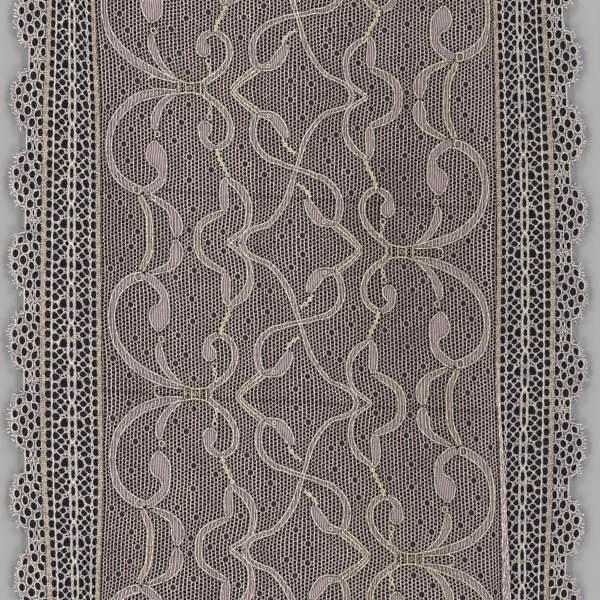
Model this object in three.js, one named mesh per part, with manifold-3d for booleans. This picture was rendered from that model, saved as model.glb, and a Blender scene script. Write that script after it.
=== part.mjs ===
// Stretch lace trim: a net panel with scrolled ribbons, sewn between two scalloped edgings.
// Millimetres, +Z up. The trim lies flat with its length along Y. The origin is on its underside,
// in the middle of the cut length.

import * as THREE from 'three';
import { mergeVertices } from 'three/addons/utils/BufferGeometryUtils.js';
import Module from 'manifold-3d';

const wasm = await Module();
wasm.setup();

// Cut length, heights above the underside, and the seam between the panel and an edging
const CUT_LENGTH = 160;
const NET_TOP = 1.0;
const RIBBON_TOP = 1.4;
const EDGING_TOP = 1.1;
const SPINE_TOP = 1.3;
const BRAID_TOP = 1.5;
const SEAM_GAP = 0.3;

// Net panel: half its width between the heading braids, the slope of its courses, and the scroll
// repeat, with the place of one left-hand knot along the strip
const NET_HALF = 52.2;
const COURSE_SLOPE = 0.041;
const SCROLL_REPEAT = 79.8;
const LEFT_KNOT = 54.9;
const KNOTS_PER_SIDE = 3;

// Edging: lines and edges measured outwards from its spine
const OUTER_BRAID = 6.9;
const INNER_BRAID = -6.8;
const BRAID_WIDTH = 1.05;
const BRAID_INSET = 0.1;
const SPINE_WIDTH = 2.0;
const NOTCH_REACH = 5.1;
const SCALLOP_RISE = 4.0;
const SCALLOP_HALF = 7.5;
const SCALLOP_ROUNDING = 0.75;
const SCALLOP_STEPS = 10;

// How deep a raised form is let into its sheet, and how far outlines run past the cut ends
const LET_IN = 0.5;
const OVERRUN = 8;
const LINE_STEP = 12;
const MERGE_DISTANCE = 1e-4;

// Colours and finish of the two yarns
const NET_YARN = { color: 0xc3b0ab, roughness: 0.85, metalness: 0 };
const EDGING_YARN = { color: 0xd8cabd, roughness: 0.8, metalness: 0 };

// Where the strip's lengthwise lines lie. It lies a little bowed, so each line drifts, and the
// courses of an edging tilt by so much of their distance from its spine.
const STRIP_LINES = [
  { along: 78.0, leftOuter: -64.6, leftSpine: -58.8, leftInner: -53.4, leftTilt: 0.2,
    rightInner: 51.3, rightSpine: 57.6, rightOuter: 63.8, rightTilt: 0.0 },
  { along: 46.8, leftOuter: -65.7, leftSpine: -58.7, leftInner: -52.2, leftTilt: 0.16,
    rightInner: 52.0, rightSpine: 58.4, rightOuter: 65.4, rightTilt: 0.02 },
  { along: 15.6, leftOuter: -66.2, leftSpine: -59.0, leftInner: -52.0, leftTilt: 0.11,
    rightInner: 52.2, rightSpine: 59.0, rightOuter: 66.3, rightTilt: 0.01 },
  { along: -15.6, leftOuter: -66.5, leftSpine: -58.9, leftInner: -51.7, leftTilt: 0.07,
    rightInner: 52.1, rightSpine: 59.1, rightOuter: 66.2, rightTilt: 0.0 },
  { along: -46.8, leftOuter: -66.0, leftSpine: -58.5, leftInner: -51.2, leftTilt: 0.05,
    rightInner: 53.0, rightSpine: 58.3, rightOuter: 65.5, rightTilt: 0.0 },
  { along: -78.0, leftOuter: -64.5, leftSpine: -57.9, leftInner: -51.8, leftTilt: 0.03,
    rightInner: 53.6, rightSpine: 58.1, rightOuter: 64.2, rightTilt: 0.02 },
];

// The two edgings: pitch of their paired D holes, and the place of one scallop notch
const EDGINGS = [
  { name: 'left_edging', line: 'left', side: -1, pitch: 10.34, notch: -0.9 },
  { name: 'right_edging', line: 'right', side: 1, pitch: 10.19, notch: 12.25 },
];

// A quarter of the scroll repeat, left half. A row is one section of a ribbon: how far out it is
// from the panel's middle line, how far below the knot's line, and how wide the ribbon is there.
const RIBBONS = {
  loop: [
    { out: 29.5, below: 0.8, wide: 1.2 }, { out: 35.5, below: 1.6, wide: 1.5 },
    { out: 41.2, below: 4.3, wide: 2.1 }, { out: 44.9, below: 7.1, wide: 2.0 },
    { out: 47.9, below: 11.0, wide: 1.6 }, { out: 49.0, below: 15.6, wide: 1.4 },
    { out: 48.9, below: 19.2, wide: 1.5 }, { out: 47.7, below: 23.2, wide: 1.8 },
    { out: 45.4, below: 25.8, wide: 2.1 }, { out: 42.8, below: 27.4, wide: 2.2 },
    { out: 40.0, below: 28.2, wide: 1.8 },
  ],
  drop: [
    { out: 37.0, below: 14.7, wide: 0.6 }, { out: 37.0, below: 16.2, wide: 3.5 },
    { out: 36.7, below: 18.4, wide: 5.2 }, { out: 35.4, below: 21.0, wide: 3.2 },
    { out: 35.1, below: 23.2, wide: 1.8 }, { out: 35.8, below: 25.2, wide: 2.0 },
    { out: 38.2, below: 27.4, wide: 2.1 }, { out: 40.2, below: 28.3, wide: 1.8 },
  ],
  neck: [
    { out: 36.4, below: 13.4, wide: 1.0 }, { out: 37.0, below: 11.8, wide: 0.8 },
    { out: 36.9, below: 9.6, wide: 2.1 }, { out: 36.0, below: 6.8, wide: 1.8 },
    { out: 34.0, below: 4.0, wide: 1.4 }, { out: 30.0, below: 1.3, wide: 1.2 },
  ],
  stem: [
    { out: 40.8, below: 28.6, wide: 0.9 }, { out: 40.0, below: 31.6, wide: 1.3 },
    { out: 38.9, below: 33.8, wide: 1.5 }, { out: 38.5, below: 36.5, wide: 1.4 },
    { out: 38.5, below: 40.1, wide: 1.6 },
  ],
  bead: [
    { out: 39.0, below: 28.6, wide: 0.9 }, { out: 34.9, below: 31.0, wide: 1.6 },
    { out: 32.6, below: 33.0, wide: 2.1 }, { out: 31.5, below: 36.2, wide: 3.3 },
    { out: 31.4, below: 38.3, wide: 2.2 }, { out: 31.7, below: 40.1, wide: 0.9 },
  ],
  smallLoop: [
    { out: 25.8, below: 1.0, wide: 1.2 }, { out: 22.6, below: 2.6, wide: 1.3 },
    { out: 19.4, below: 5.3, wide: 1.4 }, { out: 17.4, below: 8.8, wide: 1.3 },
    { out: 17.2, below: 11.4, wide: 1.3 }, { out: 18.4, below: 14.3, wide: 1.4 },
    { out: 20.9, below: 16.0, wide: 1.3 },
  ],
  smallDrop: [
    { out: 22.6, below: 6.2, wide: 0.8 }, { out: 23.4, below: 8.2, wide: 0.8 },
    { out: 23.9, below: 10.2, wide: 3.4 }, { out: 24.1, below: 12.0, wide: 2.7 },
    { out: 24.2, below: 13.6, wide: 1.7 }, { out: 21.2, below: 16.0, wide: 1.2 },
  ],
  cord: [
    { out: 20.9, below: 15.9, wide: 0.9 }, { out: 20.0, below: 18.6, wide: 0.9 },
    { out: 17.8, below: 23.4, wide: 1.0 },
  ],
  leaf: [
    { out: 17.8, below: 23.2, wide: 1.0 }, { out: 18.9, below: 25.0, wide: 1.6 },
    { out: 19.0, below: 28.4, wide: 2.2 }, { out: 18.8, below: 30.8, wide: 1.8 },
    { out: 18.9, below: 32.2, wide: 0.8 },
  ],
  hook: [
    { out: 17.9, below: 23.2, wide: 1.0 }, { out: 15.4, below: 25.3, wide: 1.8 },
    { out: 13.3, below: 28.0, wide: 2.0 }, { out: 12.4, below: 31.4, wide: 1.6 },
    { out: 12.9, below: 35.2, wide: 1.2 }, { out: 14.6, below: 37.4, wide: 1.1 },
    { out: 18.2, below: 40.1, wide: 1.0 },
  ],
  wave: [
    { out: 18.9, below: 31.8, wide: 1.0 }, { out: 22.2, below: 33.7, wide: 1.5 },
    { out: 25.0, below: 35.8, wide: 1.6 }, { out: 26.0, below: 40.1, wide: 1.6 },
  ],
  diamond: [
    { out: 14.5, below: 40.1, wide: 1.5 }, { out: 13.0, below: 37.3, wide: 1.3 },
    { out: 7.6, below: 34.8, wide: 1.2 }, { out: 3.6, below: 30.1, wide: 1.4 },
    { out: 1.6, below: 25.4, wide: 1.4 }, { out: 0.0, below: 19.9, wide: 0.9 },
  ],
  chevron: [
    { out: 16.6, below: -0.3, wide: 1.3 }, { out: 14.0, below: 2.9, wide: 1.6 },
    { out: 9.6, below: 6.2, wide: 2.0 },
  ],
  arc: [
    { out: 10.0, below: 6.0, wide: 1.4 }, { out: 11.4, below: 9.8, wide: 1.6 },
    { out: 10.8, below: 14.0, wide: 1.4 }, { out: 8.1, below: 17.2, wide: 1.3 },
    { out: 4.0, below: 18.8, wide: 1.1 }, { out: 0.0, below: 19.9, wide: 0.9 },
  ],
  petal: [
    { out: 10.0, below: 6.1, wide: 1.2 }, { out: 5.9, below: 7.0, wide: 2.6 },
    { out: 4.4, below: 8.9, wide: 2.9 }, { out: 3.2, below: 11.2, wide: 2.0 },
    { out: 2.4, below: 14.4, wide: 0.9 }, { out: 0.0, below: 16.2, wide: 0.9 },
  ],
  knot: [
    { out: 30.2, below: -0.2, wide: 1.2 }, { out: 27.6, below: 0.0, wide: 2.4 },
    { out: 25.0, below: 0.2, wide: 1.2 },
  ],
};

// One D hole of a pair, beside the spine: its flat side and foot are straight, its back is round
const D_HOLE = [
  { out: 1.15, along: -1.2 }, { out: 1.15, along: 1.0 }, { out: 1.8, along: 1.1 },
  { out: 2.7, along: 0.4 }, { out: 3.0, along: -0.7 }, { out: 2.7, along: -1.2 },
];

// The larger oval gaps of one half scallop: distance beyond the outer braid and from the scallop's middle
const SCALLOP_HOLES = [
  { out: 6.9, along: 1.75, wide: 1.3, tall: 2.1 },
  { out: 5.8, along: 4.95, wide: 1.2, tall: 2.2 },
  { out: 4.5, along: 2.85, wide: 1.2, tall: 2.2 },
  { out: 3.4, along: 6.0, wide: 1.2, tall: 2.3 },
  { out: 2.9, along: 1.45, wide: 1.1, tall: 2.1 },
];
const OVAL_SIDES = 6;

// Place of a named lengthwise line, or size of a tilt, at a distance along the strip
function lineAt(name, along) {
  const first = STRIP_LINES[0].along;
  const last = STRIP_LINES[STRIP_LINES.length - 1].along;
  const share = THREE.MathUtils.clamp((first - along) / (first - last), 0, 1);
  const curve = new THREE.SplineCurve(STRIP_LINES.map((row) => new THREE.Vector2(row.along, row[name])));
  return curve.getPoint(share).y;
}

// A point of the net panel's chart, where it lies on the strip
function netPoint(across, along) {
  const y = along - COURSE_SLOPE * across;
  const left = lineAt('leftInner', y);
  const right = lineAt('rightInner', y);
  const x = (left + right) / 2 + across * (right - left) / (2 * NET_HALF);
  return new THREE.Vector2(x, y);
}

// A point of an edging's chart, measured outwards from its spine, where it lies on the strip
function edgingPoint(edging, out, along) {
  const y = along + lineAt(edging.line + 'Tilt', along) * out;
  const spine = lineAt(edging.line + 'Spine', y);
  const outer = lineAt(edging.line + 'Outer', y);
  const inner = lineAt(edging.line + 'Inner', y);
  if (out > OUTER_BRAID) return new THREE.Vector2(outer + edging.side * (out - OUTER_BRAID), y);
  if (out < INNER_BRAID) return new THREE.Vector2(inner + edging.side * (out - INNER_BRAID), y);
  if (out > 0) return new THREE.Vector2(THREE.MathUtils.lerp(spine, outer, out / OUTER_BRAID), y);
  return new THREE.Vector2(THREE.MathUtils.lerp(spine, inner, out / INNER_BRAID), y);
}

// Even steps from one end of the strip to the other, a little past the cut ends
function stepsAlong() {
  const half = CUT_LENGTH / 2 + OVERRUN;
  const count = Math.round(2 * half / LINE_STEP);
  return Array.from({ length: count + 1 }, (_, i) => half - 2 * half * i / count);
}

// A closed geometry as a solid that can be joined and cut
function solidOf(geometry) {
  geometry.deleteAttribute('normal');
  geometry.deleteAttribute('uv');
  const bare = geometry.index ? geometry.toNonIndexed() : geometry;
  const merged = mergeVertices(bare, MERGE_DISTANCE);
  return new wasm.Manifold(new wasm.Mesh({
    numProp: 3,
    vertProperties: new Float32Array(merged.attributes.position.array),
    triVerts: new Uint32Array(merged.index.array),
  }));
}

// An upright prism on a flat outline
function prism(outline, bottom, top) {
  const shape = new THREE.Shape(outline);
  const geometry = new THREE.ExtrudeGeometry(shape, { depth: top - bottom, bevelEnabled: false });
  geometry.translate(0, 0, bottom);
  return solidOf(geometry);
}

// A solid as a named mesh with its own material
function meshOf(name, solid, yarn) {
  const { vertProperties, triVerts } = solid.getMesh();
  const geometry = new THREE.BufferGeometry();
  geometry.setAttribute('position', new THREE.BufferAttribute(vertProperties, 3));
  geometry.setIndex(new THREE.BufferAttribute(triVerts, 1));
  geometry.computeVertexNormals();
  const mesh = new THREE.Mesh(geometry, new THREE.MeshStandardMaterial(yarn));
  mesh.name = name;
  return mesh;
}

// Everything between the two cut ends
function cutLength() {
  return solidOf(new THREE.BoxGeometry(2 * CUT_LENGTH, CUT_LENGTH, CUT_LENGTH));
}

// Outline of one ribbon: its centre line runs through the rows, its edges half a width to each side
function ribbonOutline(rows, place) {
  const centre = new THREE.SplineCurve(rows.map((row) => new THREE.Vector2(row.out, row.below)));
  const nearEdge = [];
  const farEdge = [];
  rows.forEach((row, i) => {
    const tangent = centre.getTangent(i / (rows.length - 1));
    const aside = new THREE.Vector2(-tangent.y, tangent.x).multiplyScalar(row.wide / 2);
    nearEdge.push(place(row.out + aside.x, row.below + aside.y));
    farEdge.unshift(place(row.out - aside.x, row.below - aside.y));
  });
  return nearEdge.concat(farEdge);
}

// Every ribbon of the panel: the quarter repeat mirrored at each knot, and moved half a repeat on
// the other side of the middle line
function scrollRibbons() {
  const solids = [];
  for (const side of [-1, 1]) {
    const knot = side < 0 ? LEFT_KNOT : LEFT_KNOT + SCROLL_REPEAT / 2;
    for (let repeat = 0; repeat < KNOTS_PER_SIDE; repeat++) {
      for (const turn of [-1, 1]) {
        const start = knot - repeat * SCROLL_REPEAT;
        const middle = start - turn * SCROLL_REPEAT / 4;
        if (Math.abs(middle) > CUT_LENGTH / 2 + SCROLL_REPEAT / 4) continue;
        const place = (out, below) => netPoint(side * out, start - turn * below);
        for (const rows of Object.values(RIBBONS)) {
          solids.push(prism(ribbonOutline(rows, place), NET_TOP - LET_IN, RIBBON_TOP));
        }
      }
    }
  }
  return solids;
}

function netPanel() {
  const inset = BRAID_WIDTH / 2 + SEAM_GAP;
  const steps = stepsAlong();
  const left = steps.map((y) => new THREE.Vector2(lineAt('leftInner', y) + inset, y));
  const right = steps.map((y) => new THREE.Vector2(lineAt('rightInner', y) - inset, y));
  const sheet = prism(left.concat(right.reverse()), 0, NET_TOP);
  const raised = scrollRibbons().reduce((joined, ribbon) => joined.add(ribbon), sheet);
  return meshOf('net_panel', raised.intersect(cutLength()), NET_YARN);
}

// Reach of the scalloped edge beyond the outer braid, at a distance from the scallop's middle
function scallopReach(fromMiddle) {
  const share = Math.min(Math.abs(fromMiddle) / SCALLOP_HALF, 1);
  return NOTCH_REACH + SCALLOP_RISE * Math.pow(1 - share * share, SCALLOP_ROUNDING);
}

// Middles of the scallops along the strip: half a scallop from each notch
function scallopMiddles(edging) {
  const scallop = 2 * edging.pitch;
  const count = Math.ceil((CUT_LENGTH / 2 + OVERRUN) / scallop) + 1;
  return Array.from({ length: 2 * count }, (_, i) => edging.notch + scallop * (i - count + 0.5));
}

// Scalloped outline of an edging, its inner edge just past the inner braid
function edgingOutline(edging) {
  const outerEdge = [];
  for (const middle of scallopMiddles(edging)) {
    for (let i = 0; i <= SCALLOP_STEPS; i++) {
      const fromMiddle = SCALLOP_HALF * (2 * i / SCALLOP_STEPS - 1);
      outerEdge.push(edgingPoint(edging, OUTER_BRAID + scallopReach(fromMiddle), middle + fromMiddle));
    }
  }
  const low = outerEdge[0].y;
  const high = outerEdge[outerEdge.length - 1].y;
  const inset = edging.side * BRAID_WIDTH / 2;
  const innerEdge = [high, ...stepsAlong(), low]
    .map((y) => new THREE.Vector2(lineAt(edging.line + 'Inner', y) - inset, y));
  return outerEdge.concat(innerEdge);
}

// A raised band along the edging, centred at a distance from the spine
function band(edging, out, width, top) {
  const steps = stepsAlong();
  const nearEdge = steps.map((along) => edgingPoint(edging, out - width / 2, along));
  const farEdge = steps.map((along) => edgingPoint(edging, out + width / 2, along));
  return prism(nearEdge.concat(farEdge.reverse()), EDGING_TOP - LET_IN, top);
}

// Paired D holes along the spine
function spineHoles(edging) {
  const count = Math.ceil(CUT_LENGTH / 2 / edging.pitch) + 1;
  const outlines = [];
  for (let i = -count; i <= count; i++) {
    const middle = edging.notch + i * edging.pitch;
    for (const side of [-1, 1]) {
      outlines.push(D_HOLE.map((row) => edgingPoint(edging, side * row.out, middle + row.along)));
    }
  }
  return outlines;
}

// Larger oval gaps of the scallops
function scallopHoles(edging) {
  const outlines = [];
  for (const middle of scallopMiddles(edging)) {
    for (const hole of SCALLOP_HOLES) {
      for (const side of [-1, 1]) {
        const oval = [];
        for (let i = 0; i < OVAL_SIDES; i++) {
          const angle = 2 * Math.PI * (i + 0.5) / OVAL_SIDES;
          const out = OUTER_BRAID + hole.out + hole.wide / 2 * Math.sin(angle);
          oval.push(edgingPoint(edging, out, middle + side * hole.along + hole.tall / 2 * Math.cos(angle)));
        }
        outlines.push(oval);
      }
    }
  }
  return outlines;
}

// Only the gaps that lie clear of the cut ends, so that no cut end is ragged
function clearOfEnds(outlines) {
  const limit = CUT_LENGTH / 2 - BRAID_WIDTH;
  return outlines.filter((outline) => outline.every((point) => Math.abs(point.y) < limit));
}

function scallopedEdging(edging) {
  const braid = BRAID_WIDTH - 2 * BRAID_INSET;
  let solid = prism(edgingOutline(edging), 0, EDGING_TOP);
  solid = solid.add(band(edging, OUTER_BRAID, braid, BRAID_TOP));
  solid = solid.add(band(edging, INNER_BRAID, braid, BRAID_TOP));
  solid = solid.add(band(edging, 0, SPINE_WIDTH, SPINE_TOP));
  for (const outline of clearOfEnds([...spineHoles(edging), ...scallopHoles(edging)])) {
    solid = solid.subtract(prism(outline, -LET_IN, BRAID_TOP + LET_IN));
  }
  return meshOf(edging.name, solid.intersect(cutLength()), EDGING_YARN);
}

const trim = new THREE.Group();
trim.add(netPanel());
for (const edging of EDGINGS) trim.add(scallopedEdging(edging));

export default trim;
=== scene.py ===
"""Looks of the stretch lace trim: a knitted net panel with corded scrolls, between two scalloped edgings."""

import math

import bpy
import numpy as np
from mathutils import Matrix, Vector
from mathutils.geometry import delaunay_2d_cdt


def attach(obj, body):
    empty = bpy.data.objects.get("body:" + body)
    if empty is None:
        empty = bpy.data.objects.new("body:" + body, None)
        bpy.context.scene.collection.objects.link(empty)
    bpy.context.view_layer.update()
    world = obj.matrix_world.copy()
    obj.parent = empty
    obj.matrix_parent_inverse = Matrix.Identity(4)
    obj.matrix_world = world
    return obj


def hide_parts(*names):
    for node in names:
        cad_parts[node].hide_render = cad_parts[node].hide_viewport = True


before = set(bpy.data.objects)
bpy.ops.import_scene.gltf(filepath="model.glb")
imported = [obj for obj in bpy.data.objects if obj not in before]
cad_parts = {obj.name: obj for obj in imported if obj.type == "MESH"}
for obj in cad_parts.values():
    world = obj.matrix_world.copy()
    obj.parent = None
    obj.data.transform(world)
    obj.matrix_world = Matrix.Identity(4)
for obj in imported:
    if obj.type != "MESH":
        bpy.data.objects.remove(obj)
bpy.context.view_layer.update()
random = np.random.default_rng(11)

# All sizes below are millimetres, unless a comment says otherwise. The strip's length lies along Y.
MM = 0.001
HALF_LENGTH = 80.0
CORD_END = 79.8
# Guards against dividing by nothing and stepping past the last cell
TINY = 1e-9
LEAST_RISE = 1e-3
ALMOST_ONE = 0.999

# Net: pitch of its columns and courses, and heights of its threads
NET_HALF = 52.2
COURSE_SLOPE = 0.055
COLUMNS = 112
ROWS = 168
COLUMN_PITCH = 0.92
COURSE_PITCH = 0.99
NET_END = 79.4
THREAD_TOP = 0.95
THREAD_BOTTOM = 0.06
THREAD_RIM = 0.4
# How far each corner of a cell is drawn in to its hole: the side points, then the others across and along
SIDE_DRAW = 0.58
ACROSS_DRAW = 0.64
ALONG_DRAW = 0.78
VERTEX_JITTER = 0.045
HEIGHT_JITTER = 0.05
# Brightness of the threads' cores, its spread from wale to wale and from point to point, and the
# brightness of their sides at the holes' rims, which is painted shade
THREAD_CORE = 0.85
WALE_SHADE = 0.1
POINT_SHADE = 0.1
RIM_CORE = 0.3
# Threads across the wales, which are a cell's second and fifth sides, are dimmer
CROSS_SIDES = (0, 1, 0, 0, 1, 0)
NET_PIECES = ("net_lower", "net_middle", "net_upper")
# How far inside a ribbon's edge the net ends
COVER_MARGIN = 0.3

# Eyelets of a quarter repeat: how far out from the panel's middle line, and how far below the knot's line
EYELETS = (
    (1.7, 2.6), (5.4, 10.8), (1, 33.8), (3.6, 37.3), (7.4, 27.4), (8.8, 22.3), (10.7, 29.1), (13, 19.9),
    (14.3, 14.9), (15.8, 30.9), (19.3, 37.1), (22.5, 39.9), (22.6, 21), (27, 32), (28, 37.7),
    (28.1, 18.9), (28.5, 24.8), (28.2, 4.2), (30.2, 9.61), (31.6, 14.9), (31.8, 29.68), (32.5, 7.07),
    (40.3, 9.22), (41.5, 39.9), (42.2, 0), (43.1, 12.5), (43.3, 20.81), (43.7, 36.04), (45, 16.2),
    (45.5, 3.28), (46, 32.18), (49.1, 7.28), (49.1, 30.39), (50.4, 22.45),
)
EYELET_MARGIN = 2
EYELET_ACROSS = 0.85
EYELET_ALONG = 1.02
EYELET_DRAW = 0.84
EYELET_ANGLES = (-30, 0, 30, 68, 112, 150, 180, 210, 248, 292)
EYELET_CROSS = (0, 0, 0, 1, 0, 0, 0, 0, 1, 0)
# Painted shade: an eyelet's rim is black
EYELET_RIM_CORE = 0.0
# The two cells beside an eyelet are all but closed, and their rims are painted in shade
CLOSED_DRAW = 0.52
CLOSED_RIM = 0.55
CLOSED_CORE = 0.25

# Where the net's holes are smaller and its threads are painted dimmer as shade: x and y, reach across
# and along, and how much. A negative amount is a place where the holes are larger.
NET_CLOSE = (
    (34.0, 72.0, 22.0, 12.0, 0.12), (32.0, -70.0, 18.0, 12.0, 0.22), (49.0, 60.0, 5.0, 34.0, 0.18),
    (49.0, -45.0, 5.0, 40.0, 0.18), (-24.0, 40.0, 8.0, 50.0, 0.07), (27.0, 31.0, 8.0, 8.0, -0.08),
    (17.0, 21.0, 8.0, 8.0, -0.10), (25.0, -3.0, 12.0, 14.0, -0.08), (8.0, 52.0, 8.0, 16.0, -0.06),
    (-45.0, 0.0, 7.0, 70.0, -0.05),
)
CLOSE_SHADE = 1.2

# Wales lean with the scrolls beside them: reach of a scroll, share and limit of its lean, calm of
# places far from scrolls, and how stiffly wales stay in place
LEAN_REACH = 2.2
LEAN_SHARE = 0.55
LEAN_MOST = 0.9
LEAN_CALM = 1.2
WALE_HOLD = 4.5

# Scrolls: repeat, place of a left-hand knot along the strip and of any knot out from its middle,
# sample step along a ribbon, and how many samples apart those are that the net looks at
SCROLL_REPEAT = 79.8
LEFT_KNOT = 54.1
KNOT_OUT = 27.6
KNOTS_PER_SIDE = 3
RIBBON_STEP = 0.4
SPARSE = 3

# Clothwork threads laid side by side in the ribbons: radius, height and brightness of every other
# one. Cords outline the ribbons.
LAID_PITCH = 0.46
DENSE_LAID = ((0.17, 0.82, 0.93), (0.17, 0.82, 0.93))
COARSE_LAID = ((0.2, 0.82, 1.2), (0.16, 0.76, 0.8))
LAID_STEP = 1.6
LAID_SHORTEST = 0.2
LAID_LEAST = 0.02
LAID_UNEVEN = 0.02
CORD_STEP = 0.8
CORD_THIN = 0.1
CORD_THICK = 0.16
TWIST_PITCH = 3.2
TWIST_THICK = 1.1
CORD_HEIGHT = 1.0
CORD_CORE = (0.35, 1.6)

# Edging: lines measured outwards from the spine, how many repeats and scallops lie on either side of
# a notch, and the scalloped edge beyond the outer braid
OUTER_BRAID = 6.9
INNER_BRAID = -6.8
INNER_EDGE = -7.3
CHART_PITCH = 10.3
REPEATS_PER_SIDE = 9
SCALLOPS_PER_SIDE = 6
NOTCH_REACH = 5.0
RIM_RISE = 3.3
SCALLOP_HALF = 7.5
SCALLOP_ROUNDING = 0.75
OUTLINE_STEP = 0.4
OUTLINE_OVERRUN = 3.0
EDGING_END = 79.9

# Bumps of a scallop's rim round its outer gaps: how far they stand out, how wide they are, and how
# deep the dents between them are
BUMP_OUT = 1.25
BUMP_WIDE = 1.9
DENT = 0.45

# Edging threads: least width between gaps, points round a gap, rounding of the threads, and heights
LEAST_THREAD = 0.26
SCALLOP_THREAD = 0.46
GAP_GROWTH = 1.4
SCALLOP_GROWTH = 1.32
GAP_POINTS = 12
SHOULDER = 0.09
GAP_MIDDLE = 0.5
SHOULDER_TOP = 0.86
SHOULDER_BOTTOM = 0.22
EDGING_TOP = 0.98
EDGING_BOTTOM = 0.06
GAP_JITTER = 0.05
GAP_END = 79.5
NEIGHBOUR_REACH = 4.0
ROUNDING_POWER = 9
LEAST_GAP = 0.15
LEAST_APART = 0.03
PANEL_LAP = 0.35
LEAST_SLIVER = 0.45
LEAST_FACING = 0.2
FILL_PRECISION = 1e-6
EDGING_UNEVEN = 0.03
GAP_SHARES = (1.0, 0.85, 0.7, 0.55)
# Brightness of the gaps' shoulders, of their walls, which are painted in shade, and of the ridges
SHOULDER_CORE = (0.55, 1.0)
WALL_CORE = 0.05
CORE_RANGE = (0.5, 1.0)
OVAL_SQUARENESS = 1.75
D_SQUARENESS = 2.6

# Threads wider than a strand have a furrow down their middle: least width, how much wider the
# deepest is, depth and painted shade, and how much of a furrow is painted dark, in specks of a size
FURROW_FROM = 0.3
FURROW_SPAN = 0.3
FURROW_DEPTH = 0.25
FURROW_SHADE = 0.95
FURROW_SHARE = 0.58
FURROW_SPECK = 0.4
SPECKS = 64

# Strands round the scallops' gaps and along their rim: distance from the edge, radius and height
STRAND_IN = 0.13
STRAND_RADIUS = (0.08, 0.17)
STRAND_HEIGHT = 0.9
STRAND_CORE = (0.7, 2.0)

# Braids: where they lie and how golden they are, pitch of their V stitches, one half of a stitch
# from its outer end to its middle one, and the strand under their middles as its radius, height and
# brightness
BRAIDS = ((OUTER_BRAID, 0.4), (INNER_BRAID, 0.2))
STITCH_PITCH = 0.62
STITCH_OUT = (0.5, 0.3, 0.04)
STITCH_RISE = (-0.3, 0.05, 0.26)
STITCH_RADIUS = (0.15, 0.22, 0.16)
STITCH_HEIGHT = (0.9, 1.05, 0.98)
STITCH_LAP = 0.4
STITCH_CORE = (0.2, 1.6)
STITCH_SWAY = 0.05
STITCH_GOLD = 0.3
BRAID_MIDDLE = (0.2, 1.0, 1.3)
MIDDLE_UNEVEN = (0.1, 1.5)
MIDDLE_GOLD = 0.4

# Cords along an edging: out, radius, how far a knot draws them in, how far tiny holes part them, and
# how far they swing as they twist round each other
LENGTHWISE = (
    (0.77, 0.14, 0.65, 0.0, 0.2), (0.77, 0.15, 0.65, 0.0, -0.2), (-0.8, 0.14, 0.65, 0.0, 0.2),
    (-0.8, 0.15, 0.65, 0.0, -0.2), (4.64, 0.18, 0.0, 0.14, 0.0),
    (-4.79, 0.14, 0.0, 0.42, 0.0), (-4.79, 0.14, 0.0, -0.42, 0.0),
)
SPINE_TWIST = 1.9
LENGTHWISE_STEP = 0.5
SWAY = 0.05
LENGTHWISE_HEIGHT = 0.9
LENGTHWISE_CORE = (0.55, 1.9)
LENGTHWISE_UNEVEN = (0.65, 1.15)
LENGTHWISE_OVERRUN = 2.0
KNOT_ALONG = -5.05
KNOT_DRAW = 0.8
HOLE_ALONG = -1.0
HOLE_DRAW = 0.5
KNOT_ARM = 0.75
KNOT_RADIUS = (0.12, 0.24, 0.12)
KNOT_HEIGHT = (0.9, 1.0, 0.9)
SPINE_GOLD = 0.5

# Picots: hairs round a scallop's rim, which stand square to it up to a slope
PICOTS = 26
PICOT_JITTER = 0.12
PICOT_PROBE = 0.1
PICOT_SLOPE = 1.6
PICOT_ROOT = 0.35
PICOT_LENGTHS = (0.75, 1.5)
PICOT_STEPS = (0.0, 0.6, 1.0)
PICOT_RADIUS = (0.24, 0.19, 0.1)
PICOT_HEIGHTS = (0.45, 0.8)
PICOT_BEND = 0.35
PICOT_CORE = 2.0
PICOT_SIDES = 3

# The panel's selvage, which lies over the right edging's first ladder near the lower end
TURN_START = -16.0
TURN_WIDE = 1.7
TURN_LENGTH = 60.0
TURN_BEND = 1.1
TURN_THREADS = 5
TURN_CORE = (0.0, 1.2)
TURN_SWAY = 0.07
TURN_RADIUS = 0.19
TURN_HEIGHT = 1.0
TURN_LAP = 0.2
TURN_UNEVEN = (0.7, 1.1)

# Yarns: dark, middling, warm and golden colours, and the size of the patches in which they drift
YARNS = {
    "net_yarn": (
        (0.65, 0.51, 0.49), (0.74, 0.58, 0.555), (0.76, 0.605, 0.555), (0.72, 0.59, 0.39), 9.0,
    ),
    "cloth_yarn": (
        (0.37, 0.285, 0.285), (0.42, 0.325, 0.325), (0.44, 0.345, 0.32), (0.45, 0.365, 0.25), 6.0,
    ),
    "cord_yarn": (
        (0.47, 0.415, 0.40), (0.535, 0.475, 0.46), (0.555, 0.49, 0.455), (0.59, 0.505, 0.35), 5.0,
    ),
    "edging_yarn": (
        (0.42, 0.37, 0.355), (0.505, 0.445, 0.43), (0.515, 0.455, 0.415), (0.50, 0.44, 0.32), 7.0,
    ),
    "braid_yarn": (
        (0.43, 0.295, 0.28), (0.40, 0.31, 0.26), (0.42, 0.35, 0.24), (0.41, 0.335, 0.21), 4.0,
    ),
}
PATCH_STOPS = (0.34, 0.5, 0.68)
PATCH_DETAIL = 3
YARN_ROUGHNESS = 0.75
YARN_SHEEN = 0.2
SHEEN_ROUGHNESS = 0.5
# Fibres of a yarn: their size and detail, depth and strength of their relief, and how far they
# speckle the cores of threads
FIBRE_SIZE = 0.14
FIBRE_DETAIL = 2
FIBRE_DEPTH = 0.05
FIBRE_RELIEF = 0.5
SPECKLE = 0.15
# Painted shade: how dark a thread's sides are against its darkest core
SIDE_SHADE_SHARE = 0.2
# Painted shade from the normal: a surface steeper than the first upward share of its normal is painted
# as a shaded side, and one flatter than the second as a bright core
STEEP = (0.15, 0.65)
CROSS_SHADE = 0.45
# Painted shade: the strip is a little greyer towards its right: from where to where across it, and how far
PAINTED_SHADE_PLACES = (-5.0, 30.0)
PAINTED_SHADE_SHARE = 0.84

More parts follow.
